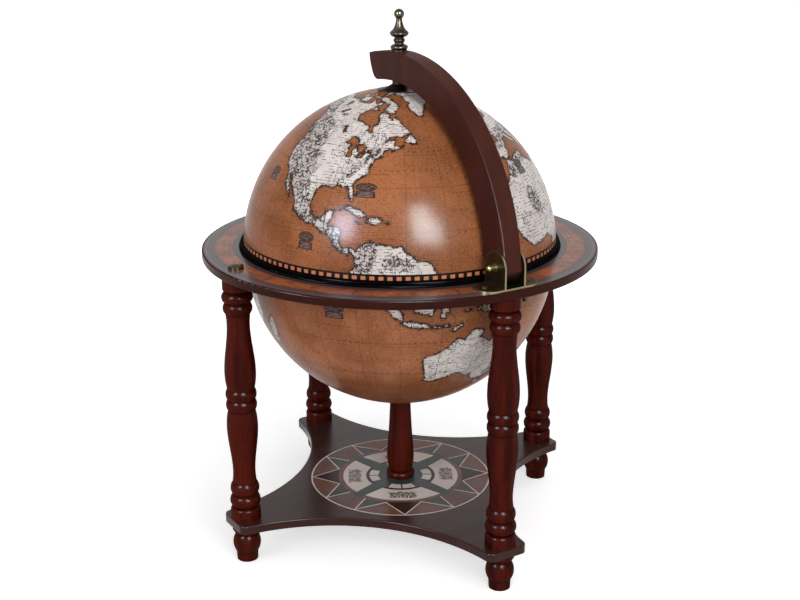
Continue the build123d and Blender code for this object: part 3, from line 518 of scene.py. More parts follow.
@dataclass(frozen=True)
class MapVarnish:
    """The printed map under clear varnish.

    Attributes:
        name: The material's name.
        radius_mm: Of the globe's half.
        centre_mm: Height of its centre.
        turn_offset: Degrees from the model's X axis to the map's zero meridian.
        rise_offset: Degrees from the half's own latitude to the map's.
        band: Whether the equator band is printed at the open edge.
        plaques: The cartouches.
        sea_light: The sea where it is pale.
        sea_dark: The sea where it is dark.
        painted_shade_mm: Heights between which the sea darkens downwards with painted shade.
        names_mm: Distance between the rows of far-spaced marks.
        mark_mm: Distance between the marks, and half a mark's width and height.
        grid_step: Degrees between the lines of the grid.
        gores: Degrees between the seams of the printed gores, and of the first seam.
        band_mm: Heights of the band's upper edge and of the middle of its blocks.
        blocks: Degrees between the blocks, and of the first block.
        block_mm: Half a block's width and height.
    """

    name: str
    radius_mm: float
    centre_mm: float
    turn_offset: float
    rise_offset: float
    band: bool
    plaques: tuple[Plaque, ...]
    sea_light: Colour
    sea_dark: Colour
    painted_shade_mm: Pair = (240.0, 178.0)
    names_mm: float = 21.0
    mark_mm: tuple[float, float, float] = (6.4, 1.15, 1.35)
    grid_step: float = 15.0
    gores: Pair = (30.0, 4.0)
    band_mm: Pair = (331.9, 328.05)
    blocks: Pair = (3.0, 1.0417)
    block_mm: Pair = (2.4, 1.8)
    sea_fleck_and_shade: Colour = tint(92, 48, 26)
    sea_glow: Colour = tint(212, 146, 98)
    ink: Colour = tint(26, 16, 18)
    sea_ink: Colour = tint(92, 50, 30)
    paper_light: Colour = tint(246, 237, 232)
    paper_dark: Colour = tint(228, 216, 211)
    shade: Colour = tint(146, 128, 128)
    scroll: Colour = tint(56, 40, 36)
    orange: Colour = tint(224, 136, 92)
    black: Colour = tint(16, 10, 11)

    def material(self) -> bpy.types.Material:
        """Sea, land, grid, coast, cartouches and band, laid over each other in that order.

        Returns:
            The material.
        """
        b = MapBench(self.name, self.sea_dark, self.radius_mm, self.centre_mm)
        self.lay_sea(b)
        b.lay(self.land_paint(b), b.coast.rise(-0.12, 0.12))
        b.lay(self.sea_ink, self.grid(b), 0.8)
        pen = b.blend(b.noise(b.mm, 0.31, 1.0).rise(0.36, 0.64), 0.38, 1.15)
        b.lay(self.ink, (abs(b.coast) - pen).rise(0.16, -0.16), 0.94)
        for plaque in self.plaques:
            self.lay_cartouche(b, plaque)
        if self.band:
            self.lay_band(b)
        b.bump(b.noise(b.mm, 0.03) * 0.9 + b.noise(b.mm, 0.35, 1.0) * 0.1, 0.0005, 0.25)
        return b.finish(Gloss(0.02, 0.44, 0.21, 1.25), b.blend(b.noise(b.mm, 0.06, 3.0), 0.38, 0.5))

    def names(self, b: MapBench) -> Wire:
        """Far-spaced broken marks in long rows, with a fine row of ticks under each.

        Args:
            b: The bench.

        Returns:
            1 on a mark.
        """
        row = (b.up / self.names_mm).floor() * 5.3
        up = b.up.comb(self.names_mm, 0.5 * self.names_mm)
        broken = b.noise(b.vector(b.along, b.up * 0.8, row), 0.75, 1.0).rise(0.44, 0.54)
        apart, wide, high = self.mark_mm
        marks = b.along.comb(apart).near(wide, 0.3) * up.near(high, 0.3) * broken
        ticks = (up + 4.2).near(0.3, 0.15) * b.beat(0.8, row, 4.0).rise(0.36, 0.46)
        groups = b.beat(0.014, row, 0.0).rise(0.50, 0.51), b.beat(0.035, row, 9.0).rise(0.52, 0.53)
        return marks * groups[0] | ticks * groups[1]

    def script(self, b: MapBench, pitch: float, empty: float) -> Wire:
        """Rows of short engraved ticks in groups, like fine writing too small to be read.

        Args:
            b: The bench.
            pitch: Distance between rows in millimetres.
            empty: How much of each row is empty, 0 to 1.

        Returns:
            1 on a tick.
        """
        row = (b.up / pitch).floor() * 3.7
        rows = b.up.comb(pitch, 0.5 * pitch).near(0.13 * pitch, 0.07 * pitch)
        lean = 0.3 + 0.4 * empty
        groups = b.beat(0.16, row, 0.0).rise(lean, lean + 0.05)
        return rows * groups * b.beat(0.85, row, 4.0).rise(0.40, 0.50)

    def lay_sea(self, b: MapBench) -> None:
        """Lays slow patches, a canvas weave, fine ticks that thin out off the coast, and painted shade
        low down.

        Args:
            b: The bench.
        """
        b.lay(self.sea_light, b.noise(b.mm, 0.016, 4.0, 0.6).rise(0.34, 0.66))
        sheet = b.vector(b.along, b.up, 0.0)
        weft, warp = (
            b.noise(b.stretch(sheet, by), 1.0, 2.0, 0.6) for by in ((0.3, 1.05, 1.0), (1.05, 0.3, 1.0))
        )
        b.lay(self.sea_fleck_and_shade, weft.rise(0.52, 0.70) | warp.rise(0.53, 0.71), 0.46)
        b.lay(self.sea_glow, weft.rise(0.44, 0.30) | warp.rise(0.44, 0.30), 0.42)
        b.lay(self.sea_fleck_and_shade, b.noise(b.mm, 0.62, 2.0, 0.7).rise(0.60, 0.70), 0.55)
        b.lay(self.sea_fleck_and_shade, b.coast.rise(-3.4, -0.6), b.coast.rise(0.2, -0.2), 0.42)
        ticks = self.script(b, 2.4, 0.5) * b.coast.rise(-13.5, -5.0)
        b.lay(self.ink, ticks | self.names(b) * 0.8, 0.7)
        # Painted shade: the sea darkens towards the bottom of the globe.
        b.lay(self.sea_fleck_and_shade, b.xyz[2].rise(*self.painted_shade_mm), 0.34)

    def land_paint(self, b: MapBench) -> Wire:
        """Pale paper with rows of ticks, rivers and borders, and dense squiggles in the mountains.

        Args:
            b: The bench, whose own paint stays as it was.

        Returns:
            The colour of the land.
        """
        sea, b.paint = b.paint, self.paper_light
        b.lay(self.paper_dark, b.noise(b.mm, 0.05, 4.0, 0.6).rise(0.38, 0.7))
        b.lay(self.shade, b.coast.rise(3.2, 0.4), 0.35)
        b.lay(self.ink, self.script(b, 3.1, 0.46), 0.84)
        b.lay(self.ink, (b.noise(b.mm, 0.035, 4.0, 0.55) - 0.5).near(0.006, 0.003), 0.75)
        massif = (b.noise(b.mm, 0.11, 3.0) * 0.7 + b.attribute("relief")).rise(0.74, 0.92)
        b.lay(self.shade, massif, 0.24)
        squiggles = (b.noise(b.mm, 0.17) - 0.5).near(0.04, 0.02)
        peaks = b.noise(b.mm, 0.30, 1.0, 0.6).rise(0.60, 0.66)
        b.lay(self.ink, squiggles | peaks, massif, 0.9)
        land, b.paint = b.paint, sea
        return land

    def grid(self, b: MapBench) -> Wire:
        """Thin lines at even degrees of the map, with a fainter line at each printed gore.

        Args:
            b: The bench.

        Returns:
            1 on a line.
        """
        step, zero = math.radians(self.grid_step), math.radians(self.turn_offset)
        wide, seam = (math.radians(part) for part in self.gores)
        east = b.turn.comb(step, zero) * b.narrow * self.radius_mm
        north = b.lift.comb(step, math.radians(self.rise_offset)) * self.radius_mm
        gore = b.turn.comb(wide, zero + seam) * b.narrow * self.radius_mm
        return east.near(0.2, 0.12) | north.near(0.2, 0.12) | gore.near(0.5, 0.3) * 0.35

    def lay_cartouche(self, b: MapBench, plaque: Plaque) -> None:
        """Lays a dark oval scroll over a slab, with a ragged outline and pale streaks across both.

        Both are worked out in parts of the plaque's half width and half height.

        Args:
            b: The bench.
            plaque: Where it is and how large.
        """
        level = math.radians(plaque.rise)
        east = b.turn.comb(math.tau, math.radians(plaque.turn)) * math.cos(level)
        across = east * (self.radius_mm / plaque.width)
        up = (b.lift - level) * (self.radius_mm / plaque.height)
        tall = (up - 0.34) / 0.56
        ragged = b.noise(b.vector(across, up, 3.0), 3.4, 1.0) * 0.36
        oval = across * across + tall * tall + ragged
        slab = (abs(across) / 0.86 | abs(up + 0.56) / 0.40) + ragged * 0.5
        shape = oval.rise(1.24, 1.14) | slab.rise(1.14, 1.08)
        inner = oval.rise(1.0, 0.9) | slab.rise(0.94, 0.88)
        streaks = b.noise(b.vector(across * 2.6, up * 8.0, 1.0), 1.0)
        pale = (streaks - b.blend(slab.rise(0.98, 0.94), 0.50, 0.42)).rise(0.0, 0.08)
        face = b.mix(pale * 0.6, self.scroll, self.shade)
        b.lay(b.mix(inner, self.ink, face), shape, 0.92)

    def lay_band(self, b: MapBench) -> None:
        """Lays a black band round the equator, with a row of orange blocks on it.

        Args:
            b: The bench.
        """
        top, middle = self.band_mm
        b.lay(self.black, b.xyz[2].rise(top + 0.15, top - 0.15))
        apart, first = (math.radians(part) for part in self.blocks)
        off = b.turn.comb(apart, first) * self.radius_mm
        wide, high = self.block_mm
        b.lay(self.orange, off.near(wide, 0.15), (b.xyz[2] - middle).near(high, 0.12))


@dataclass(frozen=True)
class MapLining:
    """The lining inside each half: aged paper with thin lines round it.

    Attributes:
        name: The material's name.
        lines_mm: Heights of the printed lines.
    """

    name: str
    lines_mm: tuple[float, ...]
    paper: Colour = tint(202, 172, 132)
    stain: Colour = tint(168, 128, 86)
    ink: Colour = tint(96, 58, 36)

    def material(self) -> bpy.types.Material:
        """Blotched paper, with lines at fixed heights.

        Returns:
            The material.
        """
        b = Bench(self.name, self.paper)
        blotch = b.noise(b.mm, 0.03, 5.0, 0.65).rise(0.36, 0.7)
        b.lay(self.stain, blotch)
        b.lay(self.stain, b.noise(b.mm, 0.9).rise(0.56, 0.72), 0.3)
        b.lay(self.ink, reduce(or_, ((b.xyz[2] - at).near(0.5, 0.15) for at in self.lines_mm)), 0.8)
        b.bump(blotch, 0.0001, 0.3)
        return b.finish(Gloss(0.3, 0.2, 0.25), 0.5)


@dataclass(frozen=True)
class RingPrint:
    """The printed ring round the globe: a band of panels between two plain borders.

    Attributes:
        name: The material's name.
        inner_mm: Radius where the inner border meets the panels.
        border_mm: Radius where the panels meet the outer border.
        rings_mm: Radius and half width of each dark ring inside a border or beside one.
        edge_mm: Half width of the dark rings at both ends of the panels.
        pale_mm: Radius of the pale ring in the outer border.
        panels: How many panels go round.
        leaf_mm: Distance between leaves, half a leaf's length, and its distance from the stem.
    """

    name: str = "ring print"
    inner_mm: float = 175.5
    border_mm: float = 196.0
    rings_mm: tuple[Pair, ...] = ((172.6, 0.35), (194.2, 0.3))
    edge_mm: float = 0.6
    pale_mm: float = 203.6
    panels: int = 12
    leaf_mm: tuple[float, float, float] = (15.0, 4.6, 3.4)
    rust: Colour = tint(168, 92, 54)
    brown: Colour = tint(118, 64, 46)
    plum: Colour = tint(84, 48, 44)
    slate: Colour = tint(72, 64, 68)
    gold: Colour = tint(186, 142, 88)
    ink: Colour = tint(36, 24, 26)

    def material(self) -> bpy.types.Material:
        """Panels by angle about the axis, a thin leaf scroll in each, and plain rings at both sides.

        Returns:
            The material.
        """
        b = Bench(self.name, self.brown)
        x, y, _ = b.xyz
        radius, middle = x.hypot(y), 0.5 * (self.border_mm + self.inner_mm)
        round_mm, pitch = y.turn(x) * middle, math.tau * middle / self.panels
        b.lay(self.rust, b.noise(b.mm, 0.022, 4.0, 0.6).rise(0.38, 0.62))
        b.lay(self.plum, b.noise(b.mm, 0.09, 3.0, 0.6).rise(0.45, 0.75), 0.5)
        b.lay(self.ink, round_mm.comb(pitch, 0.5 * pitch).near(0.5, 0.15), 0.8)
        along, out = round_mm.comb(pitch), radius - middle
        stem = (out - (along * 0.21).sine() * 2.6).near(0.42, 0.25)
        apart, long, off = self.leaf_mm
        taper = 1.5 - abs(along.comb(apart)) * (1.5 / long)
        leaves = (taper - abs(abs(out) - off)).rise(-0.1, 0.3)
        b.lay(self.gold, stem | leaves, along.near(0.30 * pitch, 1.5), 0.42)
        b.lay(self.ink, (b.noise(b.mm, 0.07, 3.0, 0.6) - 0.5).near(0.012, 0.006), 0.55)
        outer = radius.rise(self.border_mm - 0.1, self.border_mm + 0.1)
        b.lay(self.slate, outer | radius.rise(self.inner_mm + 0.1, self.inner_mm - 0.1))
        rings = (*self.rings_mm, (self.inner_mm, self.edge_mm), (self.border_mm, self.edge_mm))
        b.lay(self.ink, reduce(or_, ((radius - at).near(wide, 0.14) for at, wide in rings)), 0.85)
        b.lay(self.gold, (radius - self.pale_mm).near(0.4, 0.14), 0.35)
        b.lay(self.ink, b.noise(b.mm, 0.8, 3.0, 0.7).rise(0.56, 0.72), 0.4)
        b.bump(b.noise(b.mm, 0.05), 0.0003, 0.2)
        return b.finish(Gloss(0.04, 0.5, 0.16, 1.4), 0.45)


@dataclass(frozen=True)
class CompassPrint:
    """The printed compass star on the shelf.

    The star is drawn in a quarter folded along its diagonals, so that one set of lines makes all
    twelve points: a point on each main direction and one on either side of it.

    Attributes:
        name: The material's name.
        heading: Direction of one main point, in degrees about the axis.
        tip_mm: Reach of the points.
        valley_mm: Reach of the hollows between them.
        valley_turn: Degrees from a main point to the hollow beside it.
        side_turn: Degrees from a main point to the point beside it.
        foot_turn: Degrees to the inner end of that point's far line.
        line_mm: Half width of the pale lines.
        reach_mm: Radius where the lines start, and of the pale rim at which they end.
        disc_mm: Radius of the round field inside the star.
        lens_mm: Inner and outer radius of the four pale fields.
        lens_turn: Degrees from a main point to a field's straight side at each radius.
        hub_mm: Radius of the dark hub.
        arc_mm: Radius and half width of the arc round each fan.
        fan_mm: Radius and half width of the fan.
        brush_mm: Middle, half depth and half width of the brush strokes in each field.
    """

    name: str = "compass print"
    heading: float = 61.0
    tip_mm: float = 98.0
    valley_mm: float = 71.0
    valley_turn: float = 15.5
    side_turn: float = 32.5
    foot_turn: float = 35.5
    line_mm: float = 0.65
    reach_mm: Pair = (70.0, 98.4)
    disc_mm: float = 69.4
    lens_mm: Pair = (38.4, 64.4)
    lens_turn: Pair = (33.0, 39.5)
    hub_mm: float = 34.6
    arc_mm: Pair = (36.6, 1.8)
    fan_mm: Pair = (29.8, 5.0)
    brush_mm: tuple[float, float, float] = (51.0, 8.0, 17.0)
    cream: Colour = tint(252, 240, 234)
    teal: Colour = tint(74, 78, 78)
    umber: Colour = tint(52, 26, 20)
    rust: Colour = tint(132, 78, 50)
    plum: Colour = tint(126, 96, 94)
    ink: Colour = tint(46, 28, 28)

    def beside(self, u: Wire, v: Wire, start: Pair, end: Pair) -> Wire:
        """Signed distance of (u, v) from the straight line through two points.

        It is the spot's share of the line's normal less that of the line's first point.

        Args:
            u: The spot's distance along the main direction.
            v: Its distance across it.
            start: Radius and turn in degrees of the line's first point.
            end: The same of its second.

        Returns:
            The distance, positive on the right-hand side of the way from start to end.
        """
        turns = np.radians([start[1], end[1]])
        (u0, u1), (v0, v1) = np.array([start[0], end[0]]) * (np.cos(turns), np.sin(turns))
        normal = np.array([v1 - v0, u0 - u1]) / math.hypot(u1 - u0, v1 - v0)
        return u * float(normal[0]) + v * float(normal[1]) - float(normal @ (u0, v0))

    def material(self) -> bpy.types.Material:
        """Star, fields and arcs in the folded quarter, over mottled grounds.

        Returns:
            The material.
        """
        b = Bench(self.name, self.rust)
        x, y, _ = b.xyz
        radius = x.hypot(y)
        fold = abs(y.turn(x).comb(math.pi / 2, math.radians(self.heading)))
        u, v, turn = radius * fold.cosine(), radius * fold.sine(), fold * math.degrees(1.0)
        valley, side_tip = (self.valley_mm, self.valley_turn), (self.tip_mm, self.side_turn)
        main = self.beside(u, v, valley, (self.tip_mm, 0.0))
        foot = (self.valley_mm - 1.0, self.foot_turn)
        flank, far = self.beside(u, v, side_tip, valley), self.beside(u, v, foot, side_tip)
        pair = flank.step("MINIMUM", far)

        b.lay(self.plum, b.noise(b.mm, 0.05, 4.0, 0.6).rise(0.35, 0.65))
        b.lay(self.teal, turn.rise(34.0, 41.0), 0.45)
        ground = b.paint
        b.lay(self.umber, main.rise(-0.1, 0.1), turn.rise(30.0, 28.0))
        b.lay(self.teal, pair.rise(-0.1, 0.1), 0.95)
        b.lay(ground, radius.rise(self.disc_mm + 0.2, self.disc_mm - 0.2))

        low, high = self.lens_mm
        lens = self.beside(u, v, (low, self.lens_turn[0]), (high, self.lens_turn[1]))
        b.lay(self.teal, lens.rise(0.2, -0.2), radius.rise(self.valley_mm + 1.0, self.valley_mm + 0.4))
        b.lay(self.teal, radius.rise(self.hub_mm + 0.2, self.hub_mm - 0.2))
        inside = radius.rise(high, high - 0.4) * radius.rise(low, low + 0.3)
        b.lay(self.cream, lens.rise(-0.2, 0.2), inside)
        strokes = b.noise(b.vector(v * 0.9, u * 0.42, 0.0), 0.62, 3.0, 0.7).rise(0.42, 0.50)
        middle, deep, wide = self.brush_mm
        patch = (abs(u - middle) / deep | v / wide) + b.noise(b.mm, 0.16) * 0.7
        b.lay(self.ink, strokes, patch.rise(1.30, 1.16), 0.86)
        b.lay(self.umber, (radius - self.arc_mm[0]).near(self.arc_mm[1], 0.2), turn.rise(33.5, 32.5))
        fan = (radius - self.fan_mm[0]).near(self.fan_mm[1], 0.2) * turn.rise(26.0, 25.0)
        b.lay(self.cream, fan)
        b.lay(self.umber, fan, v.near(0.8, 0.2))

        start, rim = self.reach_mm
        ring = radius.rise(start - 0.2, start + 0.2) * radius.rise(rim + 0.2, rim - 0.2)
        lines = (main | pair).near(self.line_mm, 0.15) * ring
        b.lay(self.cream, lines | radius.rise(rim - 0.2, rim + 0.1))
        b.lay(self.umber, b.noise(b.mm, 0.4, 3.0, 0.65).rise(0.56, 0.75), 0.25)
        b.bump(b.noise(b.mm, 0.05), 0.0003, 0.2)
        return b.finish(Gloss(0.06, 0.25, 0.2), 0.45)


# ------------------------------------------------------------------------------- world map
def outlines(text: str) -> list[np.ndarray]:
    """Reads lines of "longitude latitude" corners, parted by ";", into rows of degrees."""
    parts = (part.replace(",", " ").split() for part in text.split(";"))
    return [np.array(part, float).reshape(-1, 2) for part in parts]


@dataclass(frozen=True)
class Atlas:
    """Simple outlines of the world, drawn in degrees of longitude and latitude.

    Attributes:
        lands: One closed outline each.
        lakes: One closed outline each.
        chains: Half width in degrees and middle line of each mountain chain.
        far: The largest distance from a coast that is reckoned, in degrees.
        share: How many spots are reckoned at once, to spare memory.
    """

    lands: list[np.ndarray]
    lakes: list[np.ndarray]
    chains: list[tuple[float, np.ndarray]]
    far: float = 6.0
    share: int = 6000

    def around(self, spots: np.ndarray) -> list[np.ndarray]:
        """The spots, and the same spots a whole turn to either side."""
        return [spots + (turn, 0.0) for turn in (-360.0, 0.0, 360.0)]

    def shares(self, rows: np.ndarray) -> list[np.ndarray]:
        """Row numbers cut into lots of about the size that is reckoned at once."""
        return [part for part in np.array_split(rows, len(rows) // self.share + 1) if len(part)]

    def gap(self, spots: np.ndarray, line: np.ndarray) -> np.ndarray:
        """Least distance of each spot from a line of straight runs.

        A spot's distance from one run is that from the run's nearest point, with longitude
        shrunk by the cosine of the spot's latitude.

        Args:
            spots: Rows of longitude and latitude.
            line: Corners of the line, in rows.

        Returns:
            One distance in degrees for each spot.
        """
        shrink = np.cos(np.radians(spots[:, 1]))[:, None]
        start, run = line[:-1], line[1:] - line[:-1]
        run_x, run_y = run[None, :, 0] * shrink, run[None, :, 1]
        to_x = (spots[:, :1] - start[None, :, 0]) * shrink
        to_y = spots[:, 1:] - start[None, :, 1]
        long = np.maximum(run_x**2 + run_y**2, 1e-9)
        share = np.clip((to_x * run_x + to_y * run_y) / long, 0.0, 1.0)
        return np.sqrt(((to_x - share * run_x) ** 2 + (to_y - share * run_y) ** 2).min(axis=1))

    def within(self, spots: np.ndarray, ring: np.ndarray) -> np.ndarray:
        """Whether each spot lies in a closed outline: an odd count of crossings to its east.

        Args:
            spots: Rows of longitude and latitude.
            ring: Corners of the outline, the first one again at the end.

        Returns:
            One truth value for each spot.
        """
        (x0, y0), (x1, y1) = ring[:-1].T, ring[1:].T
        spans = (y0[None] > spots[:, 1:]) != (y1[None] > spots[:, 1:])
        rise = np.where(y1 == y0, 1.0, y1 - y0)
        cut = x0 + (spots[:, 1:] - y0) * (x1 - x0) / rise
        return (spans & (spots[:, :1] < cut)).sum(axis=1) % 2 == 1

    def depth(self, spots: np.ndarray, outline: np.ndarray) -> np.ndarray:
        """Signed distance from one outline, positive inside, no less than -far.

        Args:
            spots: Rows of longitude and latitude.
            outline: Corners of the outline, in rows.

        Returns:
            One distance in degrees for each spot.
        """
        ring = np.vstack([outline, outline[:1]])
        result = np.full(len(spots), -self.far)
        margin = np.array([2.5 * self.far, self.far])
        for moved in self.around(spots):
            inside = (moved > ring.min(axis=0) - margin) & (moved < ring.max(axis=0) + margin)
            for part in self.shares(np.flatnonzero(inside.all(axis=1))):
                size = np.minimum(self.gap(moved[part], ring), self.far)
                signed = np.where(self.within(moved[part], ring), size, -size)
                result[part] = np.maximum(result[part], signed)
        return result

    def coast(self, spots: np.ndarray) -> np.ndarray:
        """Signed distance from the nearest shore in degrees, positive on land."""
        land = reduce(np.maximum, (self.depth(spots, outline) for outline in self.lands))
        return reduce(np.minimum, (-self.depth(spots, outline) for outline in self.lakes), land)

    def relief(self, spots: np.ndarray) -> np.ndarray:
        """Share of mountain from 0 to 1, falling as a bell away from each chain.

        Args:
            spots: Rows of longitude and latitude.

        Returns:
            One share for each spot.
        """
        height = np.zeros(len(spots))
        for reach, line in self.chains:
            for moved in self.around(spots):
                for part in self.shares(np.arange(len(spots))):
                    bell = np.exp(-((self.gap(moved[part], line) / reach) ** 2))
                    height[part] = np.maximum(height[part], bell)
        return height


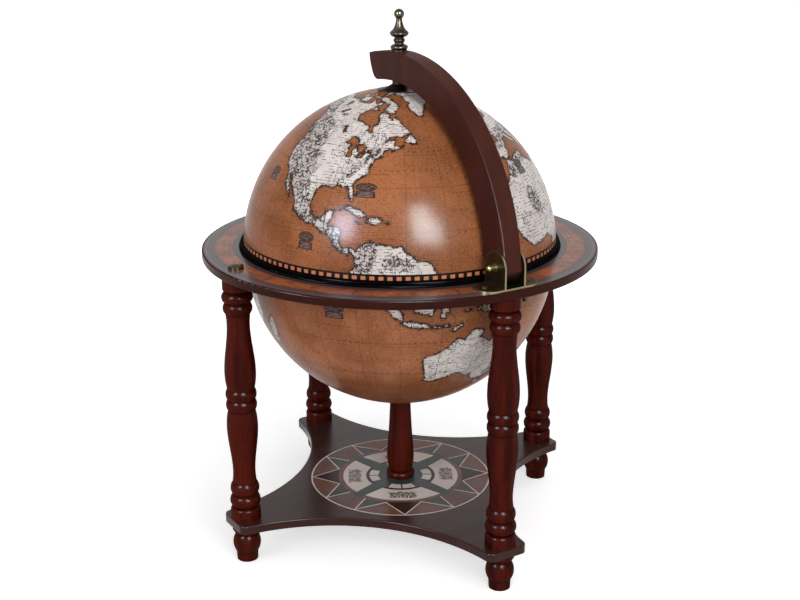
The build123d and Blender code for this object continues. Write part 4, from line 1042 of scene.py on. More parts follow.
LANDS = {
    "North and Central America": """
-168 65.7,-162 66.5,-166 68.3,-162 70.2,-156.6 71.3,-149 70.4,-141 69.7,-135 69.3,-129 70,-125 69.6,
-121 69.8,-115 68.8,-108 68,-102 67.8,-96 68.2,-94 71.9,-92.5 69.8,-90 68.8,-86 67.4,-85.5 69.6,
-81.5 69,-81.5 67.3,-86 66.2,-88 64.2,-92 62.7,-94.6 60.5,-94.7 58.8,-92.5 57.1,-88 56.6,-85 55.3,
-82.3 55.1,-82.2 53,-80.2 51.4,-79 52,-79.3 54.5,-76.7 56.3,-77 58,-78.4 60.2,-77.5 62.4,-73.5 62.3,
-70 61.1,-69.5 59,-67 58.4,-65 60.2,-62 57.6,-60 55.3,-57.3 53.8,-55.8 52,-58.8 51.2,-60.2 50.1,
-66.5 50.2,-69 48.8,-71 46.9,-68 48.3,-64.4 49.1,-65 47.2,-64.8 46.3,-61.5 45.8,-60 46.6,-61 45.2,
-63.6 44.5,-66 43.6,-66 44.8,-67.2 44.8,-70 43.7,-70.8 42.6,-70 41.7,-73.8 40.7,-74 39.7,-75.3 38.3,
-76 37,-75.6 35.3,-78 33.9,-80.5 32.3,-81.4 30.6,-80.1 27,-80.4 25.2,-81.7 25.9,-82.8 27.8,-82.8 29.1,
-84.2 30,-85.5 29.8,-88 30.4,-89.4 29.1,-91.3 29.4,-94.7 29.5,-97.2 27.7,-97.4 25.3,-97.8 22.5,
-96.2 19.2,-94.5 18.2,-91.8 18.5,-90.5 19.8,-90.3 21,-87 21.5,-87.5 19.3,-88.3 17.5,-88.6 15.9,-85 16,
-83.2 15,-83.6 12.5,-83.6 10.9,-82.2 9.2,-79.6 9.6,-77.4 8.7,-75.5 10.8,-71.8 12.3,-71.3 10.9,
-68.3 11.2,-64 10.2,-61.9 10.6,-59.8 8.4,-57 6,-52 4.8,-50 1.5,-50 0,-48 -0.8,-44.3 -2.6,-39.5 -3.2,
-35.3 -5.3,-34.8 -8,-37.2 -11.5,-39 -14.5,-39.2 -17.8,-41 -22,-44.5 -23.1,-48.5 -25.8,-48.8 -28.5,
-52.2 -32.4,-54.5 -34.7,-58.3 -34.2,-57.2 -36.5,-62 -39,-65 -41,-63.7 -42.6,-67.3 -46,-65.8 -47.8,
-69 -50.7,-68.3 -52.4,-65.2 -54.7,-69 -55.3,-74 -52.8,-75.5 -49,-74.5 -45.5,-73 -42,-73.5 -38,
-71.6 -33.5,-70.5 -28,-70.2 -20,-71.5 -17.5,-76.2 -14,-79.7 -7.3,-81.3 -4.5,-80 -2.5,-80.9 -1,-80 1,
-78.8 2,-77.2 4,-77.8 6.8,-79.9 8.6,-80.3 7.4,-82.8 8.2,-83.7 8.6,-85.7 10,-87.6 12.9,-91.5 13.9,
-94.5 16.2,-97.7 15.9,-101.5 17.6,-105.5 19.8,-105.5 22,-108.5 25.2,-111 27.9,-112.8 30.5,-114.8 31.7,
-113.3 28.9,-111 25.8,-109.5 23.1,-112.1 25,-114.9 27.8,-116 30,-117.2 32.6,-120.6 34.5,-122.4 37.2,
-124.3 40.3,-124.1 43.5,-124 46.3,-124.6 48.4,-122.6 47.6,-123.2 49,-127.5 51,-130 54.5,-134 58,
-139 59.7,-146 60.8,-151.5 59.3,-157 57.3,-163 54.8,-158.5 57.9,-162 58.7,-166 61.5,-164.5 63.2,
-161 64.3,-166.3 64.6
""",
    "Greenland, the northern islands and Iceland": """
-73 78.2,-67 80,-60 82,-45 82.4,-32 83.5,-21 82.5,-18 80,-19 76,-21 74,-22 72,-24 70.3,-32 68,-38 65.8,
-42 62,-44 60,-48.5 61,-52 64,-53.8 67.5,-51 69.5,-54.5 71,-57 74.5,-62 76.2,-69 76;
-62 66.7,-68 69.8,-76 72.5,-82 73.7,-89 73.5,-88 71,-80 70,-76 68.4,-73 68.3,-73 66.5,-77 64.3,-72 62.9,
-66 62,-65.5 63.5,-64 65.2;
-117 70,-114 69,-105 69,-102 70,-105 72.5,-110 73,-118 72.5,-118 71;
-125 71.5,-121 71.5,-116 73,-121 74.4,-124.5 73.8;
-90 76.5,-80 76.2,-77 78.5,-68 81.2,-64 82.5,-75 83,-92 81.5,-87 79;
-92 76.3,-80 75.7,-81 74.6,-92 74.8;
-117 75.2,-106 75,-106 76.2,-116 76.5;
-102 72.8,-92 72.8,-91 73.9,-101 73.9;
-87 63.7,-80.5 63.7,-84 66,-86.5 65.5;
-59.3 47.8,-55.8 46.9,-53 46.8,-53.3 48.7,-55.6 51.5,-57.4 50.5;
-24.3 65.5,-22.5 66.4,-16 66.5,-13.6 65,-18.8 63.4,-22.6 63.9,-22 64.8
""",
    "Islands of the Caribbean and the west coast": """
-85.1 21.7,-82.4 23.5,-79 22.9,-74.4 20.8,-74.1 20,-77.8 19.9,-81.6 22;
-74.7 18.2,-73 20.1,-69.7 19.9,-68.2 18.6,-71.3 17.7;
-78.3 18.3,-76.3 18.1,-77.3 17.8;
-67.2 18.4,-65.7 18.3,-66.5 17.9;
-128.3 50.6,-125 48.7,-123.5 48.4,-125.3 50.2
""",
    "Europe and Asia": """
-9 37,-9.4 38.8,-8.8 41.5,-9.2 43.2,-3.8 43.5,-1.5 43.5,-1.2 46,-4.6 47.9,-1.7 48.7,-1.6 49.7,0.2 49.6,
1.7 50.8,4 51.7,4.8 53,8.2 53.6,8.6 55.5,8.2 57,10.5 57.6,10.3 56,9.8 55,10.9 54.2,14 54,18.5 54.8,
21 55.3,21.3 57.5,24 57.2,23.6 59,28 59.6,29.8 60,25 60.2,22.3 60.3,21.4 62.8,25.2 65,22.2 65.8,21 64.5,
17.3 61.7,17.3 60.6,18.8 59.9,16.5 57.5,16 56.2,14.2 55.4,12.9 55.5,11.8 57.7,10.8 59.2,8 58.1,5.4 59,
5.1 61.8,10 64,14.5 67.8,19 69.9,25.5 71,31 70.3,33 69.4,41 67.2,40.5 66.3,34.5 66.6,32.8 66.9,
34.8 64.4,38 64,40 64.7,44 66.2,44 68.4,50 68,54 68.6,60.5 69.8,68 68.4,66.8 70.8,69 72.9,72.6 72.8,
72 69,74.5 72.3,80.5 73.6,87 75,98 76.3,104.3 77.7,113 75.8,110 74,118 73,127 73.4,129 71,139.5 72.4,
152 70.9,160 69.6,170.5 69.9,180 68.9,190.2 66.1,183 65,177.5 62.5,170.3 60,163.5 59.8,163 58,162 56,
160.2 53.2,156.8 51.1,155.6 56,161.5 60.3,163.7 61.8,156.7 61.6,155 59.3,143 59.3,137.5 54,141.2 53,
140.3 48.5,135.5 44.3,131.5 43,129.7 41,127.5 39.6,129.4 37,129.2 35.3,126.5 34.4,126.6 37.2,125 39.6,
121.5 39,121 40.8,118 39,119 37.4,122.5 37.3,119.3 35,121.8 32,121.8 29.8,119.6 26,117 23.5,113.5 22.2,
110 21,108.3 21.6,105.8 19,108.7 15.5,109.3 12.2,106.8 10.3,104.8 8.8,104.9 10.4,102.5 12,100.9 13.4,
99.3 11,100.4 8,103.4 4.3,104.2 1.4,101.3 2.8,100.2 6.3,98.3 8.3,98.6 12,97.6 16.4,94.3 16,94.2 18.8,
91.8 22.3,88.3 21.7,86.8 20.5,82.3 16.7,80.2 15.6,80.2 12.5,79.8 10.3,77.5 8.1,76.2 10,74.3 14.6,
72.8 19,72.6 21.7,70.5 20.8,69 22.3,67 24.7,61.6 25.2,57 26.9,54 26.6,51 28.5,48.8 30.3,48 29.9,50 26.8,
51.3 24.5,54.2 24.2,56.3 26,57 24,59.8 22.4,57.7 19.3,55 17,52 15.6,45 12.8,43.4 12.8,42.7 16.4,39.1 21,
37.3 24.5,35 28.2,34.2 27.8,32.6 29.9,32.3 31.2,34.5 31.6,35.8 34.8,36 36.6,33 36.1,30.5 36.4,27.5 36.8,
26.3 39.2,29 41.1,33.5 42,38.3 41,41.5 41.6,39 44.2,37 45.3,38.3 47.1,35 46.2,36.4 45.3,33.5 44.5,33 46,
30.8 46.4,28.6 43.8,28 41.7,26 40.8,23.7 40.3,24 38.2,22.8 36.6,21.2 37.8,19.4 41.5,15.2 44.2,13.6 45.6,
12.3 45.2,13.6 43.5,16 41.9,18.4 40,16.9 40.4,16.5 39,15.8 38,15.7 40,12.3 41.7,10.2 43.9,7.5 43.8,
3.5 43.3,3.2 41.9,0.2 40.2,-0.3 38.7,-2.1 36.8,-5.5 36,-6.5 36.9;
-5.6 50.1,-3.5 50.4,1.4 51.2,1.6 52.8,0 53.3,-1.6 55,-2 57.6,-3.2 58.6,-5 58.5,-5.8 57,-4.8 54.9,
-3 54.2,-4.5 53.3,-4.7 52.1,-3.2 51.4,-4.5 51.1;
-10 51.6,-6.3 52.2,-5.6 54.5,-7.3 55.3,-10 54.2,-9 53.2;
130.9 34,135.2 34.4,136.8 34.4,140.8 35.6,142 39.5,141.3 41.4,139.9 39.6,137 37.2,133 35.5;
140 42,145.5 43.3,141.8 45.4,140.4 43.3;
129.8 32.8,131.9 33.6,131.2 31.2,130.2 31.2;
142 46,143.5 49,143 54.3,142 53.4,142.2 49;
120.1 23,121.6 25.2,120.9 22;
120.3 16,120.6 18.5,122.3 18.4,121.6 15.5,124 12.8,121 13.7;
122 7,125.5 9.7,126.3 7,125.4 5.7;
80 9.6,81.8 7.2,80.6 5.9,79.8 7.8
""",
    "Africa": """
32.6 29.9,34 26.5,37.3 21,38.6 18,43.2 12.6,43.3 11.5,51.2 11.9,49 6.5,46 2.5,41.5 -1.8,39.3 -5,
40.6 -11,40.5 -15,35 -20,35.5 -24,32.8 -26.5,31 -30,26 -33.8,20 -34.8,18.3 -33.8,16 -28.5,14.4 -22.5,
11.8 -17,13.7 -11,12.3 -6,9 -1,9.6 3.9,7 4.4,4.5 6.3,-2 4.8,-7.5 4.4,-13 8.3,-16.8 12.3,-17.4 14.8,
-16.3 19,-17 21,-13 27.7,-9.8 30.5,-6.2 35.8,-2 35.1,3 36.8,10 37.3,11 34,15.5 32.3,19.5 30.4,21.8 32.8,
29 30.9,32.3 31.2;
49.3 -12,50.4 -15.6,47.2 -25,44 -25,43.4 -22,44.4 -16.2
""",
    "The islands between Asia and Australia": """
95.3 5.6,98.7 3.6,103.5 -0.5,106 -3.2,105.8 -5.8,102.3 -4,98.8 1.8;
109 1.5,111.4 2.5,113 3.2,117 7,119.2 5.2,117.6 1,116 -4,110.2 -2.8,109 -0.5;
104.8 -6.4,108.5 -6,114.8 -7.2,115 -9,108 -8.2;
116 -8.2,119 -8.1,122.8 -8.1,122.8 -8.9,119 -9.1,116.1 -9;
123.3 -10.6,125 -8.9,127.4 -8,127.5 -8.9,124.8 -10.7;
127.4 0.8,128.8 1.6,128.4 -0.9,127.6 -0.4;
127.8 -3.1,130.8 -2.9,130.8 -3.8,128 -3.8;
119.8 0.5,123 1,125 1.5,120.3 0.2,123.3 -1,121.5 -2,122.8 -4.5,121 -3,120.3 -5.5,119.4 -5.4,119 -3;
131 -0.8,134.2 -0.9,135 -3.3,138 -1.7,144.5 -3.9,147.8 -6.2,147.2 -7,150.5 -10.5,147 -9.3,143.5 -9.1,
138.8 -8.3,137.8 -5.2,133 -4,132.7 -2.8
""",
    "Australia, New Zealand and the far south": """
113.7 -22,114 -26,115.5 -31.8,115.1 -34.3,118 -35.2,123.5 -33.9,129 -31.7,131.5 -31.6,135.5 -34.8,
137.8 -32.7,137.6 -35.1,140.6 -38,143.5 -38.8,147 -38.5,150 -37.4,151.5 -33,153.4 -28.5,152.5 -25,
150.8 -23.3,146.3 -19,145.3 -15,143.6 -14.2,142.5 -10.8,141.6 -14,140.8 -17.5,137 -16,135.5 -15,
136.8 -12.2,132.6 -11.4,130.8 -12.6,129.2 -14.9,126 -14,122.2 -18,119 -20,116.5 -20.8;
144.7 -40.8,148.3 -40.9,147.9 -43,146 -43.6;
172.8 -34.5,175.4 -36.7,178.4 -37.7,177 -39.5,175.3 -41.6,173.8 -39.3,174.8 -37.8;
172.7 -40.6,174.2 -41.7,172.8 -43.7,170.7 -45.9,168.4 -46.6,166.5 -45.9,168.5 -44;
-180 -78,-160 -78,-150 -77,-130 -74,-100 -72.5,-75 -72,-67 -67,-57 -63.3,-60 -67,-62 -74,-50 -78,
-35 -78,-20 -73.5,0 -70,20 -70,40 -69,50 -67,60 -67.5,70 -70,80 -67.5,100 -66,115 -66.5,135 -66,
150 -68.5,165 -71,167 -77.5,180 -78,180 -95,-180 -95
""",
}
LAKES = """
-92.6 46.6,-89.6 48.6,-88 49.5,-84.4 48.5,-84 46.3,-87.5 45.9;
-88.4 41.2,-88.8 44.8,-86 46.4,-84.5 45.7,-86 43.4,-86.2 41;
-84.2 46,-80.8 46.7,-79 44.9,-81 42.9,-82.4 42.4,-83.8 43.8;
-84 41.2,-78.4 43.2,-81 40.8;
-80.2 43,-75.6 44.7,-76.6 42.9;
-97 50.3,-99.3 53.8,-97.5 53.9,-95.9 51;
-117 60.8,-111 63,-109 62.7,-113 60.6;
-125.3 66.5,-121 67.3,-118 66,-121.5 64.7;
-111.5 59.4,-106.5 59.6,-109 58.7;
47.5 45.5,51 47,53 46.7,51 44.5,53 41.5,54 37,50 37.4,49 40.5,47.5 43;
58.5 43.5,61.5 44.5,61 46.5,58.8 45.8;
103.8 51.4,109.6 55.8,110 55.3,106 51.8;
31.7 0.2,34.2 0.4,34 -2.6,31.8 -2.6;
29.2 -3.5,30.6 -7.5,31.2 -8.4,29.6 -4
"""
# Half width of each chain in degrees, and its line.
CHAINS = (
    (5.0, "-150 64,-138 61,-128 56,-121 51"),
    (8.0, "-118 49,-115 44,-112 39,-109 34"),
    (4.6, "-106 30,-104 25,-99 19,-92 15,-84 11"),
    (3.6, "-73 9,-76 2,-78 -6,-72 -15,-68 -24,-71 -38,-73 -50"),
    (1.4, "-84 34,-79 39,-73 44"),
    (2.4, "-66 5.6,-60 4.4"),
    (4.0, "-1 21,2 16.5"),
    (2.5, "-5 42,1 43,8 46,15 47,23 47,24 43"),
    (3.0, "6 60,12 64,18 68"),
    (2.5, "60 68,59 58,58 51"),
    (3.6, "31 38,42 40,48 35,54 30,66 32,72 37,80 33,90 29,100 30,104 26"),
    (4.5, "72 42,82 47,92 50,106 52,120 54,132 60,148 64"),
    (2.6, "-7 31,2 35,8 35"),
    (3.2, "38 14,39 8,36 0,34 -8,30 -28"),
    (2.2, "145 -17,150 -27,148 -36"),
    (2.0, "134 -2,140 -4.5,146 -7"),
    (2.0, "137 36,140 39"),
)
WORLD = Atlas(
    lands=outlines(";".join(LANDS.values())),
    lakes=outlines(LAKES),
    chains=[(reach, *outlines(line)) for reach, line in CHAINS],
)


# ------------------------------------------------------------------------------ mesh making
def grid_faces(rows: int, columns: int) -> np.ndarray:
    """Quads of a grid that closes on itself both ways, like a ring.

    Args:
        rows: Points along the first way.
        columns: Points along the second way.

    Returns:
        Four corner numbers for each quad.
    """
    row, column = np.meshgrid(np.arange(rows), np.arange(columns), indexing="ij")
    down, over = (row + 1) % rows, (column + 1) % columns
    ring = ((row, column), (down, column), (down, over), (row, over))
    return np.stack([(first * columns + second).ravel() for first, second in ring], axis=1)


def make_mesh(name: str, points: np.ndarray, quads: np.ndarray, slots: np.ndarray) -> bpy.types.Object:
    """Puts points and quads into a smooth mesh object at the origin.

    Args:
        name: The object's name.
        points: Rows of x, y and z in metres.
        quads: Rows of four corner numbers.
        slots: Material slot of each quad.

    Returns:
        The new object.
    """
    mesh = bpy.data.meshes.new(name)
    mesh.vertices.add(len(points))
    mesh.vertices.foreach_set("co", points.astype(np.float32).ravel())
    mesh.loops.add(quads.size)
    mesh.loops.foreach_set("vertex_index", quads.astype(np.int32).ravel())
    mesh.polygons.add(len(quads))
    mesh.polygons.foreach_set("loop_start", np.arange(0, quads.size, 4, dtype=np.int32))
    mesh.polygons.foreach_set("material_index", slots.astype(np.int32))
    mesh.polygons.foreach_set("use_smooth", np.ones(len(quads), dtype=bool))
    mesh.update(calc_edges=True)
    mesh.validate()
    made = bpy.data.objects.new(name, mesh)
    bpy.context.scene.collection.objects.link(made)
    return made


def keep_numbers(piece: bpy.types.Object, name: str, values: np.ndarray) -> None:
    """Keeps one number for each vertex of a piece, under a name."""
    layer = piece.data.attributes.new(name, "FLOAT", "POINT")
    layer.data.foreach_set("value", values.astype(np.float32))


def dress(piece: bpy.types.Object, *materials: bpy.types.Material) -> None:
    """Gives a piece its materials, one for each slot, and the last one to any slot beyond.

    Args:
        piece: The piece.
        *materials: Its materials.
    """
    slots = piece.data.materials
    while len(slots) < len(materials):
        slots.append(None)
    for number in range(len(slots)):
        slots[number] = materials[min(number, len(materials) - 1)]
    LOG.info("%s: %s", piece.name, ", ".join(material.name for material in materials))


# ----------------------------------------------------------------------------------- globe
class Side(Enum):
    """The sides of a shell, as the material slots of their faces."""

    OUTSIDE = 0
    INSIDE = 1
    EDGE = 2


@dataclass(frozen=True)
class GlobeHalf:
    """One half of the globe: a thin shell whose outside carries the printed map.

    The shell is one closed surface turned about the globe's axis. Its section runs down the
    outside from the pole hole to the open edge, across the edge, back up the inside and through
    the hole. A point of the arcs is the centre plus the radius times (cos t, sin t).

    Attributes:
        name: The piece's name.
        node: The solid that it stands for.
        body: The body that it rides on.
        slot: The record's finish slot; not used.
        radius: Outside radius.
        centre: Height of the sphere's centre.
        edge: Height of the open edge.
        hole: Radius of the hole at the pole.
        above: Whether the half is the upper one, which also has the equator band.
        map_turn: Degrees from the model's direction to the map's longitude.
        map_rise: Degrees from the half's own latitude to the map's.
        sea: The printed sea where it is pale and where it is dark.
        plaques: The cartouches on the map.
        lining: The finish of the inside.
        wall: Thickness.
        columns: Points round the axis.
        outer_rows: Points down the outside.
        inner_rows: Points up the inside.
    """

    name: str
    node: str
    body: str
    slot: str
    radius: float
    centre: float
    edge: float
    hole: float
    above: bool
    map_turn: float
    map_rise: float
    sea: tuple[Colour, Colour]
    plaques: tuple[Plaque, ...]
    lining: MapLining
    wall: float = 0.003
    columns: int = 540
    outer_rows: int = 148
    inner_rows: int = 26

    def arc(self, radius: float, start: float, end: float, count: int) -> np.ndarray:
        """Distance from the axis and height of points of an arc, spread evenly by angle."""
        angle = np.linspace(start, end, count)
        return np.stack([radius * np.cos(angle), self.centre + radius * np.sin(angle)], axis=1)

    def section(self) -> tuple[np.ndarray, int]:
        """The closed section of the shell.

        Returns:
            Its points, and how many of them lie on the outside.
        """
        radii, sign = (self.radius, self.radius - self.wall), 1.0 if self.above else -1.0
        outer_pole, inner_pole = (sign * math.acos(self.hole / radius) for radius in radii)
        if self.above:
            lifts = (math.asin((self.edge - self.centre) / radius) for radius in radii)
            outer_edge, inner_edge = lifts
            outside = self.arc(radii[0], outer_pole, outer_edge, self.outer_rows)
            inside = self.arc(radii[1], inner_edge, inner_pole, self.inner_rows)
        else:
            outside = self.arc(radii[0], outer_pole, 0.0, self.outer_rows - 1)
            outside = np.vstack([outside, [radii[0], self.edge]])
            inside = self.arc(radii[1], 0.0, inner_pole, self.inner_rows)
            inside = np.vstack([[radii[1], self.edge], inside])
        return np.vstack([outside, inside]), len(outside)

    def shell(self, section: np.ndarray, outer: int, turn: np.ndarray) -> bpy.types.Object:
        """Turns the section about the axis.

        Args:
            section: Its points.
            outer: How many of them lie on the outside.
            turn: Direction of each column about the axis, in radians.

        Returns:
            The shell, its faces in the slots of their sides.
        """
        away, height = section[:, :1], np.repeat(section[:, 1:], self.columns, axis=1)
        points = np.stack([away * np.cos(turn), away * np.sin(turn), height], axis=-1)
        quads = grid_faces(len(section), self.columns)
        row = np.arange(len(section)).repeat(self.columns)
        sides = (Side.OUTSIDE.value, Side.EDGE.value)
        slots = np.select([row < outer - 1, row == outer - 1], sides, Side.INSIDE.value)
        if not self.above:
            quads = quads[:, ::-1]
        return make_mesh(self.name, points.reshape(-1, 3), quads, slots)

    def chart(
        self, piece: bpy.types.Object, atlas: Atlas, height: np.ndarray, turn: np.ndarray
    ) -> None:
        """Keeps on each vertex of the outside how far the coast is and how mountainous it is.

        Args:
            piece: The shell.
            atlas: The outlines of the world.
            height: Height of each row of the outside, as a column.
            turn: Direction of each column about the axis, in radians.
        """
        lift = np.clip((height - self.centre) / self.radius, -1.0, 1.0)
        latitude = np.degrees(np.arcsin(lift)) + self.map_rise
        longitude = (np.degrees(turn) + self.map_turn + 180.0) % 360.0 - 180.0
        spots = np.stack(np.broadcast_arrays(longitude, latitude), axis=-1).reshape(-1, 2)
        rest = (0, len(piece.data.vertices) - len(spots))
        coast = np.pad(atlas.coast(spots), rest, constant_values=-atlas.far)
        keep_numbers(piece, "coast", coast * math.radians(self.radius / MM))
        keep_numbers(piece, "relief", np.pad(atlas.relief(spots), rest))

    def varnish(self) -> MapVarnish:
        """The map finish that fits this half.

        Returns:
            The finish.
        """
        return MapVarnish(
            name=f"{self.name} print", radius_mm=self.radius / MM, centre_mm=self.centre / MM,
            turn_offset=-self.map_turn, rise_offset=-self.map_rise, band=self.above,
            plaques=self.plaques, sea_light=self.sea[0], sea_dark=self.sea[1],
        )

    def build(self, atlas: Atlas, enamel: bpy.types.Material) -> None:
        """Makes the shell on its body, charts it and dresses it.

        Args:
            atlas: The outlines of the world.
            enamel: The paint on the open edge.
        """
        section, outer = self.section()
        turn = np.linspace(-math.pi, math.pi, self.columns, endpoint=False)
        piece = self.shell(section, outer, turn)
        self.chart(piece, atlas, section[:outer, 1:], turn)
        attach(piece, self.body)
        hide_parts(self.node)
        dress(piece, self.varnish().material(), self.lining.material(), enamel)


@dataclass
class Globe:
    """The two halves of the globe with their maps, rims and linings.

    Attributes:
        enamel: The paint of the rims.
        rims: The solids that it is on.
        lid: The upper half.
        bowl: The lower half.
    """

    enamel: BlackEnamel = BlackEnamel()
    rims: tuple[str, ...] = ("bowl_rim", "dome_rim")
    lid: GlobeHalf = GlobeHalf(
        name="lid_map_shell", node="dome", body="dome", slot="lid_map",
        radius=0.165, centre=0.3173, edge=0.324, hole=0.0051, above=True,
        map_turn=-120.6, map_rise=-3.8, sea=(tint(184, 113, 70), tint(148, 87, 49)),
        plaques=(
            Plaque(-5.8, 33.5, 8.0, 8.0),
            Plaque(44.9, 33.0, 10.5, 8.0),
            Plaque(23.9, 14.1, 9.0, 9.0),
            Plaque(121.5, 35.9, 8.0, 8.6),
            Plaque(-70.0, 24.0),
            Plaque(-140.0, 15.0),
        ),
        lining=MapLining("lid lining", (345.0, 347.5, 420.0, 422.0)),
    )
    bowl: GlobeHalf = GlobeHalf(
        name="bowl_map_shell", node="bowl", body="stand", slot="bowl_map",
        radius=0.1635, centre=0.311, edge=0.320, hole=0.0018, above=False,
        map_turn=46.7, map_rise=3.5, sea=(tint(198, 127, 88), tint(156, 94, 60)),
        plaques=(Plaque(35.1, -6.9, 11.0, 8.0), Plaque(150.0, -30.0), Plaque(-100.0, -22.0)),
        lining=MapLining("bowl lining", (300.0, 302.0)),
    )

    def build(self, frame: dict) -> None:
        """Makes both shells and dresses the rims.
        """
        enamel = self.enamel.material()
        for half in (self.lid, self.bowl):
            half.build(WORLD, enamel)
        for rim in self.rims:
            dress(frame["nodes"][rim], enamel)


# ----------------------------------------------------------------------- stand and fittings
@dataclass
class Dressing:
    """Solids of the frame that show as they are and only take a finish.

    Attributes:
        slots: The finish of each slot of the record.
        own: The finish of each solid that differs from the rest of its slot.
    """

    slots: dict[str, Finish]
    own: dict[str, Finish]

    def build(self, frame: dict) -> None:
        """Makes each finish once and dresses every solid that it is for.
        """
        ready = {name: finish.material() for name, finish in (self.slots | self.own).items()}
        slot_of = {part["node"]: part["material_slot"] for part in frame["record"]["subparts"]}
        for name, piece in frame["nodes"].items():
            finish = ready.get(name if name in self.own else slot_of.get(name, ""))
            if finish:
                dress(piece, finish)


@dataclass
class Stand(Dressing):
    """The legs, feet, boards, column and everything fixed to them."""

    slots: dict[str, Finish] = field(default_factory=lambda: {
        "turned_wood": LacqueredWood(
            "turned mahogany", tint(88, 26, 12), tint(57, 10, 4), Gloss(0.0, 0.085, 0.24),
            veins=0.5, figure=90.0,
            # Heights of the turned grooves, which get painted shade.
            grooves=(9.7, 29.5, 39.0, 61.8, 75.4, 89.0, 169.7, 181.2, 192.7, 273.5, 285.0, 296.5),
        ),
        "rack_wood": LacqueredWood(
            "rack wood", tint(116, 72, 44), tint(92, 54, 32), Gloss(0.1, 0.15, 0.3),
            Run.ALONG_Y, roughness=0.5,
        ),
        "horizon_print": RingPrint(),
        "compass_print": CompassPrint(),
    })
    own: dict[str, Finish] = field(default_factory=lambda: {
        "centre_column": LacqueredWood(
            "column mahogany", tint(92, 29, 15), tint(58, 13, 7), Gloss(0.0, 0.085, 0.28),
            # Height of the groove at the column's foot, which gets painted shade.
            veins=0.5, figure=90.0, grooves=(56.5,),
        ),
        "horizon_ring": LacqueredWood(
            "board mahogany", tint(60, 20, 10), tint(50, 15, 7), Gloss(0.01, 0.4, 0.22, 1.2),
            Run.ALONG_X,
        ),
        "shelf": LacqueredWood(
            "shelf mahogany", tint(66, 37, 31), tint(58, 32, 27), Gloss(0.02, 1.0, 0.24, 1.2),
            Run.ALONG_X,
        ),
        "meridian_arm": LacqueredWood(
            "arm mahogany", tint(80, 38, 30), tint(70, 32, 25), Gloss(0.02, 0.1, 0.28),
            # Painted shade on the arm's rounded foot below this height.
            foot_mm=336.0,
        ),
    })


@dataclass
class Fittings(Dressing):
    """The metal pieces."""

    slots: dict[str, Finish] = field(default_factory=lambda: {
        "antique_brass": AgedMetal("antique brass", tint(88, 72, 48), tint(40, 30, 20), 0.5, 0.26),
        "dark_bronze": AgedMetal("dark bronze", tint(50, 42, 36), tint(24, 20, 18), 0.6, 0.3),
        "bush_brass": AgedMetal("bush brass", tint(176, 148, 96), tint(120, 94, 56), 0.4, 0.25),
        "steel": AgedMetal("zinc steel", tint(156, 156, 160), tint(104, 104, 108), 0.4, 0.3),
    })
    own: dict[str, Finish] = field(default_factory=lambda: {
        "finial": AgedMetal("finial bronze", tint(84, 74, 62), tint(37, 30, 24), 0.5, 0.21),
        "hinge_bracket": HingeBrass("hinge brass", tint(88, 72, 48), tint(40, 30, 20), 0.5, 0.26),
        "hinge_cap_nut": AgedMetal("nut brass", tint(150, 138, 92), tint(92, 80, 50), 0.4, 0.24),
    })


# ---------------------------------------------------------------------------------- studio
# Colours of light from the sky, and from its shaded side.
SKY = (0.76, 0.94, 1.0)
SHADE = (0.70, 0.80, 1.0)


class Use(Enum):
    """What a lamp is for: light on surfaces, or its mirror image in gloss."""

    WASH = "wash"
    GLINT = "glint"


@dataclass(frozen=True)
class Softbox:
    """A soft lamp that faces the middle of the globe.

    Attributes:
        name: The lamp's name.
        use: What it is for.
        way: Direction from the globe's middle to the lamp.
        away: Distance in metres.
        width: Of its face.
        height: Of its face.
        glow: Brightness of its face, where 1 is white.
        colour: Of its light.
    """

    name: str
    use: Use
    way: tuple[float, float, float]
    away: float
    width: float
    height: float
    glow: float
    colour: tuple[float, float, float] = WHITE[:3]

    def build(self, middle: Vector) -> None:
        """Adds the lamp; its power is glow times area times pi.

        Args:
            middle: The spot that it is aimed at.
        """
        data = bpy.data.lights.new(self.name, "AREA")
        data.shape = "RECTANGLE"
        data.size, data.size_y = self.width, self.height
        data.energy, data.color = self.glow * self.width * self.height * math.pi, self.colour
        lamp = bpy.data.objects.new(self.name, data)
        way = Vector(self.way).normalized()
        lamp.location = middle + way * self.away
        lamp.rotation_euler = way.to_track_quat("Z", "Y").to_euler()
        lamp.visible_glossy = self.use is Use.GLINT
        lamp.visible_diffuse = self.use is Use.WASH
        bpy.context.scene.collection.objects.link(lamp)


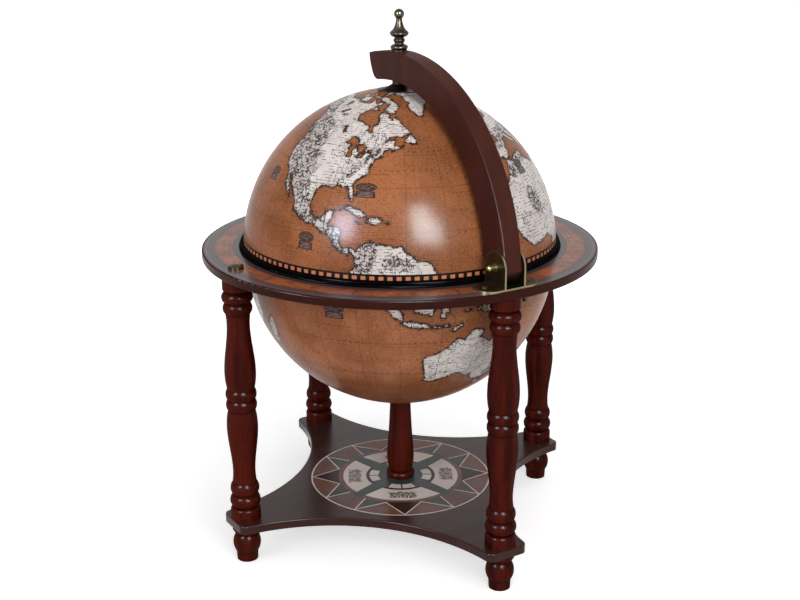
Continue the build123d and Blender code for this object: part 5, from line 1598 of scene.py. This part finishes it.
@dataclass
class Studio:
    """Floor, world, lamps and camera.

    Attributes:
        azimuth: Degrees from the -Y side round to the camera, towards +X.
        elevation: Degrees above the aim.
        distance: Of the camera from the aim.
        aim: Height of the aim.
        lens: Focal length in millimetres.
        sensor: Width in millimetres of the sensor behind the lens.
        roll: Degrees that the camera is turned about its view.
        yaw: Degrees that it looks to the right of the axis.
        air: Strength of the even light that falls from all round.
        reach: Half the floor's width.
        shadow_mm: Distances from the axis between which the floor grows to its full white.
        middle: The spot that the lamps are aimed at.
        lamps: The lamps.
    """

    azimuth: float = 148.3
    elevation: float = 17.839
    distance: float = 1.45372
    aim: float = 0.254246
    lens: float = 60.7516
    sensor: float = 36.0
    roll: float = -0.1709
    yaw: float = 0.002
    air: float = 0.17
    reach: float = 30.0
    shadow_mm: Pair = (350.0, 1100.0)
    middle: tuple[float, float, float] = (0.0, 0.0, 0.3)
    lamps: tuple[Softbox, ...] = (
        Softbox("side pane", Use.GLINT, (0.886, 0.258, 0.410), 1.7, 0.44, 0.50, 112.0, SHADE),
        Softbox("front pane", Use.GLINT, (0.236, 0.858, 0.480), 2.0, 0.40, 0.84, 92.0, SKY),
        Softbox("front right pane", Use.GLINT, (0.090, 0.920, 0.375), 2.0, 0.26, 0.56, 84.0, SKY),
        Softbox("front wash", Use.WASH, (0.18, 0.90, 0.38), 2.2, 1.2, 1.2, 3.8),
        Softbox("side wash", Use.WASH, (0.93, 0.18, 0.30), 2.2, 1.2, 1.2, 2.6),
        Softbox("top wash", Use.WASH, (-0.1, 0.2, 1.0), 2.2, 1.6, 1.6, 1.9),
    )

    def seen(self, graph: Graph) -> Wire:
        """Share of a ray that should see the white surroundings: camera, glossy and clear rays."""
        kinds = ("Camera", "Glossy", "Transmission")
        return reduce(or_, (graph.node("LightPath", {}, f"Is {kind} Ray") for kind in kinds))

    def build_world(self) -> None:
        """White where it is seen, and a plain even light on everything else."""
        world = bpy.data.worlds.new("surroundings")
        bpy.context.scene.world = world
        world.use_nodes = True
        graph = Graph(world.node_tree)
        lit = graph.node("Background", {"Color": WHITE, "Strength": self.air})
        white = graph.node("Background", {"Color": WHITE})
        end = graph.tree.nodes.new("ShaderNodeOutputWorld")
        graph.feed(end.inputs[0], graph.node("MixShader", {0: self.seen(graph), 1: lit, 2: white}))

    def build_floor(self) -> None:
        """A pale floor that shows white where it is lit and keeps the shadow under the feet."""
        corners = np.array([(-1, -1, 0), (1, -1, 0), (1, 1, 0), (-1, 1, 0)]) * self.reach
        floor = make_mesh("floor", corners, np.array([[0, 1, 2, 3]]), np.zeros(1))
        floor.data.shade_flat()
        b = Bench("pale floor", tint(220, 220, 220))
        b.lay(WHITE, self.seen(b))
        away = b.xyz[0].hypot(b.xyz[1]).rise(*self.shadow_mm)
        glow = self.seen(b) * b.blend(away, 0.6, 1.0)
        gloss = Gloss(0.0, 0.0, 0.5)
        dress(floor, b.finish(gloss, 0.9, Emission_Color=WHITE, Emission_Strength=glow))

    def build_camera(self) -> None:
        """Looks along the fitted line: back by distance, up by elevation, turned by roll and yaw."""
        tilt, off, lean = (math.radians(part) for part in (self.elevation, self.yaw, self.roll))
        flat, drop = math.cos(tilt), math.sin(tilt)
        turn = Matrix.Rotation(math.radians(self.azimuth), 3, "Z")
        spot = Vector((0.0, -self.distance * flat, self.aim + self.distance * drop))
        ahead = Vector((math.sin(off) * flat, math.cos(off) * flat, -drop))
        right = ahead.cross(Vector((0.0, 0.0, 1.0))).normalized()
        up = right.cross(ahead)
        side = math.cos(lean) * right + math.sin(lean) * up
        top = math.cos(lean) * up - math.sin(lean) * right
        pose = turn @ Matrix((side, top, -ahead)).transposed()
        data = bpy.data.cameras.new("camera")
        data.lens, data.sensor_width, data.clip_end = self.lens, self.sensor, 100.0
        camera = bpy.data.objects.new("camera", data)
        camera.matrix_world = Matrix.Translation(turn @ spot) @ pose.to_4x4()
        bpy.context.scene.collection.objects.link(camera)
        bpy.context.scene.camera = camera

    def build(self) -> None:
        """Sets up the view, the light and the floor."""
        bpy.context.scene.view_settings.view_transform = "Standard"
        self.build_camera()
        self.build_world()
        self.build_floor()
        for lamp in self.lamps:
            lamp.build(Vector(self.middle))
        LOG.info("studio ready")


def main() -> None:
    """Builds the studio and dresses the frame."""
    logging.basicConfig(level=logging.INFO, format="%(message)s")
    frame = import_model()
    Studio().build()
    Stand().build(frame)
    Globe().build(frame)
    Fittings().build(frame)
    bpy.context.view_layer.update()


if __name__ == "__main__":
    main()
